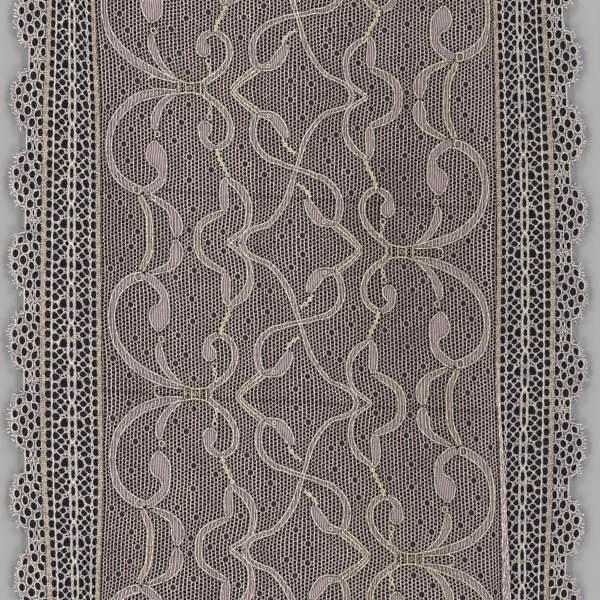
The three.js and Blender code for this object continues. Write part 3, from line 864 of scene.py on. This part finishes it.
def add_cells(threads, placed, tops, bright, gold, groups):
    """Cells of a net: round each hole, threads that rise to a ridge shared with the next cell."""
    used = np.unique(np.concatenate([group[0].ravel() for group in groups]))
    points = [raised(placed[used], tops[used]), raised(placed[used], THREAD_BOTTOM)]
    # Painted shade: the undersides are black, and the rims as dark as each group says
    core = [bright[used], np.zeros(len(used))]
    golds = [gold[used], gold[used]]
    count, faces, crossing = 2 * len(used), [], []
    for rings, draw, open_sides, cross_sides, rim_height, rim_core in groups:
        around = placed[rings]
        middle = around.mean(1, keepdims=True)
        holes = middle + (around - middle) * draw
        points.append(raised(holes.reshape(-1, 2), rim_height))
        core.append(np.full(rings.size, rim_core))
        golds.append(gold[rings].ravel())
        top = np.searchsorted(used, rings)
        bottom = top + len(used)
        rim = count + np.arange(rings.size).reshape(rings.shape)
        count += rings.size
        top_next, bottom_next, rim_next = (np.roll(ring, -1, 1) for ring in (top, bottom, rim))
        faces.append(np.stack([top, top_next, rim_next, rim], -1).reshape(-1, 4))
        faces.append(np.stack([rim, rim_next, bottom_next, bottom], -1).reshape(-1, 4))
        faces.append(np.stack([bottom, bottom_next, top_next, top], -1)[open_sides])
        crossing += [np.tile(cross_sides, len(rings)), np.zeros(rings.size), np.zeros(open_sides.sum())]
    threads.add(np.concatenate(points), faces, np.concatenate(golds), np.concatenate(core), crossing)


# Clothwork and cords of the scrolls

def lies_inside(line):
    """Whether a line of points lies between the cut ends."""
    return (np.abs(line[:, 1]) < CORD_END).all()


def inside_runs(line):
    """The stretches of a line of points that lie between the cut ends."""
    inside = np.abs(line[:, 1]) < CORD_END
    edges = np.flatnonzero(np.diff(np.concatenate([[0], inside.astype(int), [0]])))
    return [slice(a, b) for a, b in zip(edges[::2], edges[1::2]) if b - a > 2]


def laid_threads(ribbons, leaning, material):
    """Threads laid side by side along the wales, from edge to edge of each ribbon."""
    threads = Threads()
    for ribbon in ribbons:
        if ribbon["name"] in SINGLE + TWISTED:
            continue
        laid = DENSE_LAID if ribbon["name"] in DENSE else COARSE_LAID
        near, far = ribbon_edges(ribbon)
        outline = np.concatenate([near, far[::-1]])
        u = outline[:, 0] - lean_at(leaning, outline[:, 0], outline[:, 1])
        v = outline[:, 1]
        u_next, v_next = np.roll(u, -1), np.roll(v, -1)
        for number in range(math.floor(u.min() / LAID_PITCH), math.ceil(u.max() / LAID_PITCH)):
            column = (number + 0.5) * LAID_PITCH
            radius, height, core = laid[number % 2]
            crossing = (u - column) * (u_next - column) < 0
            share = (column - u[crossing]) / (u_next - u)[crossing]
            ends = np.sort(v[crossing] + share * (v_next - v)[crossing])
            for low, high in zip(ends[::2], ends[1::2]):
                if high - low < LAID_SHORTEST:
                    continue
                along = np.linspace(low, high, max(2, math.ceil((high - low) / LAID_STEP) + 1))
                place = net_point(column + lean_at(leaning, np.full(len(along), column), along), along)
                place[:, 1] = np.clip(place[:, 1], -CORD_END, CORD_END)
                place = place[np.diff(place[:, 1], append=np.inf) > LAID_LEAST]
                if len(place) > 1:
                    line = raised(place, height + random.normal(0, LAID_UNEVEN, len(place)))
                    threads.tube(line, radius, gold=CLOTH_GOLD * GOLD[ribbon["name"]], core=core)
    return threads.build("clothwork", material)


def scroll_cords(ribbons, material):
    """The cords that outline each ribbon, and the small rings."""
    threads = Threads()
    skip = max(1, round(CORD_STEP / RIBBON_STEP))
    for ribbon in ribbons:
        gold = ribbon_gold(ribbon)[::skip]
        for cord in cord_lines(ribbon):
            place = net_point(cord[:, 0], cord[:, 1])[::skip]
            thick = TWIST_THICK if ribbon["name"] in TWISTED else 1
            radius = thick * np.where(np.arange(len(place)) % 2, CORD_THIN, CORD_THICK)
            bright = random.uniform(*CORD_CORE, len(place))
            line = raised(place, CORD_HEIGHT)
            for run in inside_runs(line):
                threads.tube(line[run], radius[run], gold=gold[run], core=bright[run])
    turn = 2 * np.pi * np.arange(RING_POINTS) / RING_POINTS
    for side, start, direction in quarters():
        for out, below, radius in RINGS:
            along = start - direction * below + RING_TALL * radius * np.sin(turn)
            ring = raised(net_point(side * out + radius * np.cos(turn), along), CORD_HEIGHT + CORD_THIN)
            if lies_inside(ring):
                threads.tube(ring, CORD_THIN, closed=True, gold=RING_GOLD, core=RING_CORE)
    return threads.build("scroll_cords", material)


# Edgings

def scallop_reach(from_middle):
    """Reach of the rim threads beyond the outer braid, at a distance from the scallop's middle."""
    share = np.minimum(np.abs(from_middle) / SCALLOP_HALF, 1)
    reach = NOTCH_REACH + np.maximum(RIM_RISE * (1 - share**2) ** SCALLOP_ROUNDING - DENT, 0)
    for out, along, *_ in SCALLOP_GAPS[:2]:
        bump = np.clip(1 - ((np.abs(from_middle) - along) / BUMP_WIDE) ** 2, 0, 1)
        reach = np.maximum(reach, np.where(bump > 0, out + BUMP_OUT * np.sqrt(bump), 0))
    return reach


def scallop_middles(edging):
    """Middles of the scallops along the strip: half a scallop from each notch."""
    return edging["notch"] + 2 * edging["pitch"] * (np.arange(-SCALLOPS_PER_SIDE, SCALLOPS_PER_SIDE) + 0.5)


def oval_radius(wide, tall, power, angle):
    """Radius of a rounded gap in a direction."""
    across = np.abs(np.cos(angle) / (wide / 2)) ** power
    along = np.abs(np.sin(angle) / (tall / 2)) ** power
    return (across + along) ** (-1 / power)


def edging_gaps(edging):
    """Every gap of an edging as points round it on the chart, a thread's width from its neighbours."""
    scale = edging["pitch"] / CHART_PITCH
    outlines, rows, fixed = [], [], []
    for repeat in range(-REPEATS_PER_SIDE, REPEATS_PER_SIDE + 1):
        middle = edging["notch"] + repeat * edging["pitch"]
        for out, along, wide, tall, power in REPEAT_GAPS:
            rows.append((out, middle + along * scale, wide, tall, power, 0.0))
        for shape in (OUTER_D, INNER_D):
            outline = np.array(shape) * (1, scale) + (0, middle)
            size = np.ptp(outline, axis=0)
            fixed.append((*(outline.min(0) + size / 2), *size, D_SQUARENESS, 0.0))
            outlines.append(outline)
    for middle in scallop_middles(edging):
        for out, along, wide, tall, slant in SCALLOP_GAPS:
            for side in (-1, 1) if along else (1,):
                place = (OUTER_BRAID + out, middle + side * along * scale)
                rows.append((*place, wide, tall, OVAL_SQUARENESS, -side * slant))
    for notch in edging["notch"] + 2 * edging["pitch"] * np.arange(1 - SCALLOPS_PER_SIDE, SCALLOPS_PER_SIDE):
        for out, along, wide, tall in NOTCH_GAPS:
            rows.append((OUTER_BRAID + out, notch + along, wide, tall, OVAL_SQUARENESS, 0.0))
    gaps = np.array(rows)
    gaps[:, :2] += random.normal(0, GAP_JITTER, (len(gaps), 2))
    gaps[:, 2:4] *= random.normal(1, GAP_JITTER, (len(gaps), 2))
    others = np.concatenate([gaps, fixed])

    # Each gap grows until it comes a thread's width from its neighbours
    angles = 2 * np.pi * np.arange(GAP_POINTS) / GAP_POINTS
    for gap in gaps:
        away = others[:, :2] - gap[:2]
        far = np.hypot(away[:, 0], away[:, 1])
        near = np.flatnonzero((far < NEIGHBOUR_REACH) & (far > TINY))
        towards = np.arctan2(away[near, 1], away[near, 0])
        own = oval_radius(*gap[2:5], towards - gap[5])
        other = oval_radius(*others[near, 2:5].T, towards - others[near, 5])
        beyond = gap[0] > OUTER_BRAID
        thread, growth = (SCALLOP_THREAD, SCALLOP_GROWTH) if beyond else (LEAST_THREAD, GAP_GROWTH)
        shared = far[near] * own / (own + other) - thread / 2
        limit = np.where(near < len(gaps), shared, far[near] - other - thread)
        facing = np.cos(angles[:, None] - towards)
        bounds = np.where(facing > LEAST_FACING, limit / np.maximum(facing, LEAST_FACING), np.inf)
        radius = np.concatenate([growth * oval_radius(*gap[2:5], angles - gap[5])[:, None], bounds], 1)
        radius = (np.maximum(radius, LEAST_GAP) ** -float(ROUNDING_POWER)).sum(1) ** (-1 / ROUNDING_POWER)
        outlines.append(gap[:2] + radius[:, None] * np.stack([np.cos(angles), np.sin(angles)], -1))
    return outlines


def edging_outline(edging):
    """The edging's outline on the strip: its scalloped edge, cut ends and edge beside the panel."""
    along = past_ends(OUTLINE_STEP, OUTLINE_OVERRUN)
    from_middle = np.abs(along[:, None] - scallop_middles(edging)).min(1)
    outer = edging_point(edging, OUTER_BRAID + scallop_reach(from_middle), along)
    y = np.arange(-EDGING_END, HALF_LENGTH, OUTLINE_STEP)[::-1]
    x = line_at(edging["name"] + "_inner", y) + edging["side"] * (INNER_EDGE - INNER_BRAID)
    return np.concatenate([outer[np.abs(outer[:, 1]) < EDGING_END], np.stack([x, y], -1)])


def points_inside(points, outline):
    """Which points lie inside an outline."""
    x, y = points[:, :1], points[:, 1:]
    x0, y0 = outline[:, 0], outline[:, 1]
    x1, y1 = np.roll(x0, -1), np.roll(y0, -1)
    rising = np.where(y1 == y0, TINY, y1 - y0)
    crossing = ((y0 > y) != (y1 > y)) & (x < x0 + (y - y0) / rising * (x1 - x0))
    return crossing.sum(1) % 2 == 1


def grown(outline, by):
    """An outline grown outwards from its middle by a distance."""
    outwards = outline - outline.mean(0)
    return outline + by * outwards / np.linalg.norm(outwards, axis=1)[:, None]


def halved(outline):
    """An outline's points, and the middles of its sides."""
    return np.concatenate([outline, (outline + np.roll(outline, -1, 0)) / 2])


def lie_apart(one, other):
    """Whether two outlines neither touch nor cross."""
    one_points, other_points = halved(one), halved(other)
    nearest = np.linalg.norm(one_points[:, None] - other_points, axis=-1).min()
    crossing = points_inside(one_points, other).any() or points_inside(other_points, one).any()
    return nearest > LEAST_APART and not crossing


def clear_gaps(gaps, rim):
    """The gaps, with their shoulders, made smaller where they would meet the rim or a larger gap."""
    gaps = sorted(gaps, key=lambda shape: -np.prod(np.ptp(shape, axis=0)))
    middles = np.array([gap.mean(0) for gap in gaps])
    kept = {}
    for number, gap in enumerate(gaps):
        close = np.flatnonzero(np.abs(middles[:number] - middles[number]).max(1) < NEIGHBOUR_REACH)
        others = [kept[k][1] for k in close if k in kept]
        for share in GAP_SHARES:
            smaller = middles[number] + share * (gap - middles[number])
            shoulder = grown(smaller, SHOULDER)
            inside = points_inside(halved(shoulder), rim).all() and not points_inside(rim, shoulder).any()
            if inside and all(lie_apart(shoulder, other) for other in others):
                kept[number] = smaller, shoulder
                break
    return list(kept.values())


def placed_gaps(edging, rim):
    """The gaps of an edging and their shoulders on the strip. None lies under the panel's edge."""
    side = edging["side"]
    gaps = []
    for shape in edging_gaps(edging):
        place = edging_point(edging, shape[:, 0], shape[:, 1])
        panel_edge = line_at(edging["name"] + "_inner", place[:, 1]) + side * PANEL_LAP
        lapped = (side * place[:, 0] < side * panel_edge).any()
        place[:, 0] = side * np.maximum(side * place[:, 0], side * panel_edge)
        ends = np.array((place[:, 1].min(), place[:, 1].max()))
        kept_ends = np.clip(ends, -GAP_END, GAP_END)
        place[:, 1] = np.interp(place[:, 1], ends, kept_ends)
        cut = (ends != kept_ends).any()
        if not (lapped or cut) or np.ptp(place, axis=0).min() > LEAST_SLIVER:
            gaps.append(place if side > 0 else place[::-1])
    return clear_gaps(gaps, rim)


def scallop_strands(edging, rim, gaps, material):
    """Fine strands round each gap of the scallops, and along their rim."""
    threads = Threads()
    name, side = edging["name"], edging["side"]

    def beyond_braid(points):
        return side * (points[:, 0] - line_at(name + "_outer", points[:, 1])) > STRAND_IN

    for gap, _ in gaps:
        if beyond_braid(gap).all():
            ring = raised(grown(gap, STRAND_IN), STRAND_HEIGHT)
            bright = random.uniform(*STRAND_CORE, len(ring))
            radius = random.uniform(*STRAND_RADIUS, len(ring))
            threads.tube(ring, radius, closed=True, core=bright)
    edge = rim[beyond_braid(rim)] - (side * 2 * STRAND_IN, 0)
    radius = random.uniform(*STRAND_RADIUS, len(edge))
    bright = random.uniform(*STRAND_CORE, len(edge))
    threads.tube(raised(edge, STRAND_HEIGHT), radius, core=bright)
    return threads.build(name + "_strands", material)


def sheet_faces(loops):
    """Triangles between a rim, which is the first loop, and the shoulders inside it.

    Gives the points, which loop each is of, where each point of the loops is among them, and the triangles.
    """
    labels = np.concatenate([np.full(len(loop), number) for number, loop in enumerate(loops)])
    starts = np.cumsum([0] + [len(loop) for loop in loops])
    around = [(a + k, a + (k + 1) % len(loop)) for a, loop in zip(starts, loops) for k in range(len(loop))]
    given = [Vector(p) for p in np.concatenate(loops)]
    flat, _, faces, sources, _, _ = delaunay_2d_cdt(given, around, [], 0, FILL_PRECISION)
    flat, faces = np.array([tuple(p) for p in flat]), np.array(faces)
    source = np.array([s[0] for s in sources])
    label, back = labels[source], np.empty(len(given), int)
    back[source] = np.arange(len(source))
    same = (label[faces] == label[faces[:, :1]]).all(1)
    in_sheet = points_inside(flat[faces].mean(1), loops[0])
    return flat, label, back, faces[in_sheet & ~(same & (label[faces[:, 0]] > 0))]


def ridged_faces(flat, label, faces):
    """Triangles split along the threads' ridges, halfway between two gaps and in the middle of three.

    Gives the ridges' points, how wide the thread is at each, and the triangles.
    """
    pairs = np.sort(np.stack([faces, np.roll(faces, -1, 1)], -1), -1)
    edges, number = np.unique(pairs.reshape(-1, 2), axis=0, return_inverse=True)
    number = number.reshape(faces.shape)
    start, end = edges.T
    centre = flat[faces].mean(1)
    crossing = label[start] != label[end]
    ridge_id = len(flat) + np.arange(len(edges))
    centre_id = len(flat) + len(edges) + np.arange(len(faces))
    made = []
    for k in range(3):
        a, b, middle = faces[:, k], faces[:, (k + 1) % 3], number[:, k]
        split = crossing[middle]
        made.append(np.stack([a, ridge_id[middle], centre_id], -1)[split])
        made.append(np.stack([ridge_id[middle], b, centre_id], -1)[split])
        made.append(np.stack([a, b, centre_id], -1)[~split])
    spans = np.linalg.norm(flat[start] - flat[end], axis=1)
    reaches = 2 * np.linalg.norm(flat[faces] - centre[:, None], axis=-1).mean(1)
    ridges = np.concatenate([(flat[start] + flat[end]) / 2, centre])
    return ridges, np.concatenate([spans, reaches]), np.concatenate(made)


def edging_sheet(edging, rim, clear, material):
    """The openwork of an edging: rounded threads between the gaps, with a furrow down wide ones."""
    gaps, shoulders = zip(*clear)
    flat, label, back, faces = sheet_faces([rim, *shoulders])
    ridges, widths, top = ridged_faces(flat, label, faces)
    places = np.concatenate([flat, ridges])
    furrow = np.clip((widths - FURROW_FROM) / FURROW_SPAN, 0, 1)
    on_rim = label == 0
    at_rim = np.concatenate([on_rim, np.zeros(len(ridges), bool)])

    # Heights and brightness, with painted shade in dark specks down the furrows, and the underside, which
    # meets the top at the rim
    uneven = random.normal(0, EDGING_UNEVEN, len(places))
    high = np.concatenate([np.where(on_rim, GAP_MIDDLE, SHOULDER_TOP), EDGING_TOP - FURROW_DEPTH * furrow])
    high = high + np.where(at_rim, 0, uneven)
    low = np.where(on_rim, GAP_MIDDLE, SHOULDER_BOTTOM)
    low = np.concatenate([low, np.full(len(ridges), EDGING_BOTTOM)])
    speck = np.floor(ridges / FURROW_SPECK).astype(int) % SPECKS
    dark = (random.uniform(0, 1, (SPECKS, SPECKS)) < FURROW_SHARE)[speck[:, 0], speck[:, 1]]
    bright = random.uniform(*CORE_RANGE, len(furrow)) * (1 - FURROW_SHADE * furrow * dark)
    core = np.concatenate([random.uniform(*SHOULDER_CORE, len(flat)), bright])
    under = np.arange(len(places)) + np.where(at_rim, 0, len(places))
    bottom = under[top][:, ::-1]

    # Walls of the gaps, from the shoulders in to the gaps' own edges. The walls and the underside are
    # painted in shade.
    gap_points = np.concatenate(gaps)
    points = np.concatenate([raised(places, high), raised(places, low), raised(gap_points, GAP_MIDDLE)])
    core = np.concatenate([core, np.zeros(len(places)), np.full(len(gap_points), WALL_CORE)])
    walls, walled = [], 0
    for gap in gaps:
        own = walled + np.arange(len(gap))
        shoulder, inner = back[len(rim) + own], 2 * len(places) + own
        shoulder_next, inner_next = np.roll(shoulder, -1), np.roll(inner, -1)
        walls.append(np.stack([shoulder, shoulder_next, inner_next, inner], -1))
        walls.append(np.stack([inner, inner_next, under[shoulder_next], under[shoulder]], -1))
        walled += len(gap)
    numbers = np.concatenate([top.ravel(), bottom.ravel(), np.concatenate(walls).ravel()])
    used, index = np.unique(numbers, return_inverse=True)
    flat_count = top.size + bottom.size
    triangles, quads = index[:flat_count].reshape(-1, 3), index[flat_count:].reshape(-1, 4)
    threads = Threads()
    threads.add(points[used], [triangles, quads], core=core[used])
    return threads.build(edging["name"] + "_openwork", material)


def under_panel(edging, points):
    """Which points of an edging lie under the panel's edge."""
    panel_edge = line_at(edging["name"] + "_inner", points[..., 1])
    return edging["side"] * (panel_edge - points[..., 0]) > STITCH_LAP


def edging_braids(edging, material):
    """The two braids of an edging, as chains of V stitches over a strand."""
    threads = Threads()
    for middle, golden in BRAIDS:
        for along in past_ends(STITCH_PITCH):
            if under_panel(edging, edging_point(edging, np.array(middle), np.array(along))):
                continue
            for side in (-1, 1):
                out = middle + side * np.array(STITCH_OUT) + random.normal(0, STITCH_SWAY)
                line = raised(edging_point(edging, out, along + np.array(STITCH_RISE)), STITCH_HEIGHT)
                gold = golden - STITCH_GOLD * side + random.normal(0, STITCH_GOLD)
                if lies_inside(line):
                    threads.tube(line, np.array(STITCH_RADIUS), gold=gold, core=random.uniform(*STITCH_CORE))
        radius, height, core = BRAID_MIDDLE
        along = past_ends(2 * STITCH_PITCH)
        line = raised(edging_point(edging, np.full(len(along), middle), along), height)
        line = line[~under_panel(edging, line)]
        for run in inside_runs(line):
            uneven = core * random.uniform(*MIDDLE_UNEVEN, len(line[run]))
            threads.tube(line[run], radius, gold=MIDDLE_GOLD, core=uneven)
    return threads.build(edging["name"] + "_braids", material)


def edging_cords(edging, material):
    """Cords along the spine and the lattice, and the spine's knots."""
    threads = Threads()
    pitch = edging["pitch"]
    scale = pitch / CHART_PITCH
    along = past_ends(LENGTHWISE_STEP)

    def drawn(place, every, reach):
        far = (along - edging["notch"] - place * scale + every / 2) % every - every / 2
        return np.exp(-((far / reach) ** 2))

    knots, holes = drawn(KNOT_ALONG, pitch, KNOT_DRAW), drawn(HOLE_ALONG, pitch / 4, HOLE_DRAW)
    swing = np.cos(2 * np.pi * along / SPINE_TWIST)
    for out, radius, draw, part, twist in LENGTHWISE:
        sway = random.normal(0, SWAY, len(along)) + twist * swing
        drawn_out = out * (1 - draw * knots) + part * holes + sway
        line = raised(edging_point(edging, drawn_out, along), LENGTHWISE_HEIGHT)
        twisted = radius * random.uniform(*LENGTHWISE_UNEVEN, len(along))
        bright = random.uniform(*LENGTHWISE_CORE, len(along))
        gold = SPINE_GOLD * (draw > 0) * knots
        for run in inside_runs(line):
            threads.tube(line[run], twisted[run], gold=gold[run], core=bright[run])
    arm = KNOT_ARM * np.array((-1, 0, 1))
    for repeat in range(-REPEATS_PER_SIDE, REPEATS_PER_SIDE + 1):
        middle = edging["notch"] + repeat * pitch + KNOT_ALONG * scale
        for lean in (-1, 1):
            line = raised(edging_point(edging, lean * arm, middle + arm), KNOT_HEIGHT)
            if lies_inside(line):
                threads.tube(line, np.array(KNOT_RADIUS), gold=SPINE_GOLD)
    return threads.build(edging["name"] + "_cords", material)


def picots(edging, material):
    """Short hairs that stand out all round the scallops."""
    threads = Threads()
    steps = np.array(PICOT_STEPS)[:, None]
    even = np.linspace(-SCALLOP_HALF, SCALLOP_HALF, PICOTS)
    for middle in scallop_middles(edging):
        for place in even + random.normal(0, PICOT_JITTER, PICOTS):
            reach = scallop_reach(place + np.array((-PICOT_PROBE, PICOT_PROBE)))
            slope = np.clip((reach[1] - reach[0]) / (2 * PICOT_PROBE), -PICOT_SLOPE, PICOT_SLOPE)
            outwards = np.array((1, -slope)) / math.hypot(1, slope)
            aside = np.array((-outwards[1], outwards[0]))
            length, bend = random.uniform(*PICOT_LENGTHS), random.normal(0, PICOT_BEND)
            root = np.array((OUTER_BRAID + reach.mean() - PICOT_ROOT, middle + place))
            hair = root + length * steps * outwards + length * bend * steps**2 * aside
            heights = random.uniform(*PICOT_HEIGHTS, len(hair))
            line = raised(edging_point(edging, hair[:, 0], hair[:, 1]), heights)
            if lies_inside(line):
                threads.tube(line, np.array(PICOT_RADIUS), sides=PICOT_SIDES, core=PICOT_CORE)
    return threads.build(edging["name"] + "_picots", material)


def turned_selvage(material):
    """The panel's selvage where it lies over the right edging: threads side by side that fan out."""
    threads = Threads()
    y = np.arange(-CORD_END, TURN_START, LENGTHWISE_STEP)
    spread = np.clip((TURN_START - y) / TURN_LENGTH, 0, 1) ** TURN_BEND
    for share in np.linspace(0, 1, TURN_THREADS):
        x = line_at("right_inner", y) - TURN_LAP + TURN_WIDE * share * spread
        x = x + random.normal(0, TURN_SWAY, len(y))
        line = raised(np.stack([x, y], -1), TURN_HEIGHT + random.normal(0, TURN_SWAY, len(y)))
        radius = TURN_RADIUS * random.uniform(*TURN_UNEVEN, len(y))
        threads.tube(line, radius, core=random.uniform(*TURN_CORE, len(y)))
    return threads.build("turned_selvage", material)


# Materials

def yarn(name, dark, light, warm, golden, patch_mm):
    """Spun yarn: drifting colour, golden where points say, with painted shade on its sides, fibres and a
    soft sheen.
    """
    material = bpy.data.materials.new(name)
    material.use_nodes = True
    nodes, links = material.node_tree.nodes, material.node_tree.links

    def feed(target, inputs):
        for key, value in inputs.items():
            if isinstance(value, bpy.types.NodeSocket):
                links.new(value, target.inputs[key])
            else:
                target.inputs[key].default_value = value

    def node(kind, output, inputs=None, **settings):
        made = nodes.new("ShaderNode" + kind)
        for key, value in settings.items():
            setattr(made, key, value)
        feed(made, inputs or {})
        return made.outputs[output]

    def maths(operation, *values):
        return node("Math", "Value", dict(enumerate(values)), operation=operation)

    def noise(size, detail):
        return node("TexNoise", "Fac", {"Vector": place, "Scale": 1 / (size * MM), "Detail": detail})

    def shade(attribute):
        return node("Attribute", "Fac", attribute_name=attribute)

    def mixed(share, first, second):
        return node("Mix", "Result", {"Factor": share, "A": first, "B": second}, data_type="RGBA")

    def ranged(value, start, end, first=0, last=1):
        limits = {"From Min": start, "From Max": end, "To Min": first, "To Max": last}
        return node("MapRange", "Result", {"Value": value, **limits})

    # Colour in patches, and golden yarn
    place = node("TexCoord", "Object")
    drift = node("ValToRGB", "Color", {"Fac": noise(patch_mm, PATCH_DETAIL)})
    stops = drift.node.color_ramp.elements
    stops.new(PATCH_STOPS[-1])
    for stop, position, colour in zip(stops, PATCH_STOPS, (dark, light, warm)):
        stop.position = position
        stop.color = (*colour, 1)
    gilded = mixed(shade("gold"), drift, (*golden, 1))

    # Painted shade: bright cores, speckled with fibres, and dark sides, darkest where the surface is steep
    fibres = noise(FIBRE_SIZE, FIBRE_DETAIL)
    facing = node("SeparateXYZ", "Z", {"Vector": node("NewGeometry", "Normal")})
    lit = maths("MULTIPLY", maths("MULTIPLY_ADD", fibres, SPECKLE, shade("core")), ranged(facing, *STEEP))
    shown = maths("MULTIPLY", lit, maths("MULTIPLY_ADD", shade("crossing"), -CROSS_SHADE, 1))
    side_shaded = mixed(shown, (*[SIDE_SHADE_SHARE * channel for channel in dark], 1), gilded)

    # Painted shade, greyer towards the right, and the fibres' relief
    across = node("SeparateXYZ", "X", {"Vector": place})
    painted_shade = ranged(across, PAINTED_SHADE_PLACES[0] * MM, PAINTED_SHADE_PLACES[1] * MM, 1, PAINTED_SHADE_SHARE)
    relief = {"Height": fibres, "Strength": FIBRE_RELIEF, "Distance": FIBRE_DEPTH * MM}
    feed(nodes["Principled BSDF"], {
        "Base Color": node("VectorMath", "Vector", {0: side_shaded, "Scale": painted_shade}, operation="SCALE"),
        "Normal": node("Bump", "Normal", relief),
        "Roughness": YARN_ROUGHNESS,
        "Sheen Weight": YARN_SHEEN,
        "Sheen Roughness": SHEEN_ROUGHNESS,
    })
    return material


# The panel
yarns = {name: yarn(name, *look) for name, look in YARNS.items()}
ribbons = all_ribbons()
leaning = wale_lean(ribbons, *lattice_places())
net_pieces = net_panel(ribbons, leaning, yarns["net_yarn"])
clothwork = laid_threads(ribbons, leaning, yarns["cloth_yarn"])
cords = scroll_cords(ribbons, yarns["cord_yarn"])
for piece in net_pieces:
    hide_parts("net_panel")

# The edgings
for edging in EDGINGS:
    rim = edging_outline(edging)
    gaps = placed_gaps(edging, rim)
    openwork = edging_sheet(edging, rim, gaps, yarns["edging_yarn"])
    strands = scallop_strands(edging, rim, gaps, yarns["edging_yarn"])
    braids = edging_braids(edging, yarns["braid_yarn"])
    lengthwise = edging_cords(edging, yarns["edging_yarn"])
    hairs = picots(edging, yarns["edging_yarn"])
    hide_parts(edging["name"] + "_edging")
selvage = turned_selvage(yarns["net_yarn"])

# Floor, lights and camera. The frame is as wide as said at a height. Sizes and distances of the floor
# and the lights are metres, and their bearing and rise degrees.
FRAME_WIDE = 156.0
FRAME_MIDDLE = 0.52
FRAME_HEIGHT = 1.0
LENS_MM = 135.0
SENSOR_MM = 36.0
LIGHTS = 4
LIGHT_FAR = 1.5
LIGHT_BEARING = 45.0
LIGHT_RISE = 16.0
LIGHT_SIZE = 0.4
LIGHT_WATTS = 35.0
WORLD_LIGHT = 0.02
FLOOR_SIZE = 4
FLOOR_CELLS = 8
FLOOR_GREY = 0.24
FLOOR_ROUGHNESS = 0.9

bpy.ops.mesh.primitive_grid_add(x_subdivisions=FLOOR_CELLS, y_subdivisions=FLOOR_CELLS, size=FLOOR_SIZE)
floor = bpy.context.object
floor.name = "floor"
floor_paint = bpy.data.materials.new("floor_paint")
floor_paint.use_nodes = True
floor_shader = floor_paint.node_tree.nodes["Principled BSDF"]
floor_shader.inputs["Base Color"].default_value = (FLOOR_GREY, FLOOR_GREY, FLOOR_GREY, 1)
floor_shader.inputs["Roughness"].default_value = FLOOR_ROUGHNESS
floor.data.materials.append(floor_paint)

rise = math.radians(LIGHT_RISE)
for number in range(LIGHTS):
    bearing = math.radians(LIGHT_BEARING + 360 * number / LIGHTS)
    away = Vector((math.cos(bearing) * math.cos(rise), math.sin(bearing) * math.cos(rise), math.sin(rise)))
    lamp = bpy.data.lights.new(f"softbox_{number}", "AREA")
    lamp.size = LIGHT_SIZE
    lamp.energy = LIGHT_WATTS
    holder = bpy.data.objects.new(lamp.name, lamp)
    holder.location = away * LIGHT_FAR
    holder.rotation_euler = away.to_track_quat("Z", "Y").to_euler()
    holder.visible_camera = False
    bpy.context.scene.collection.objects.link(holder)

world = bpy.data.worlds.new("studio")
world.use_nodes = True
sky = world.node_tree.nodes["Background"]
sky.inputs["Color"].default_value = (1, 1, 1, 1)
sky.inputs["Strength"].default_value = WORLD_LIGHT
bpy.context.scene.world = world
bpy.context.scene.view_settings.view_transform = "Standard"

lens = bpy.data.cameras.new("camera")
lens.lens = LENS_MM
lens.sensor_width = SENSOR_MM
camera = bpy.data.objects.new("camera", lens)
camera.location = (FRAME_MIDDLE * MM, 0, (FRAME_WIDE * LENS_MM / SENSOR_MM + FRAME_HEIGHT) * MM)
bpy.context.scene.collection.objects.link(camera)
bpy.context.scene.camera = camera
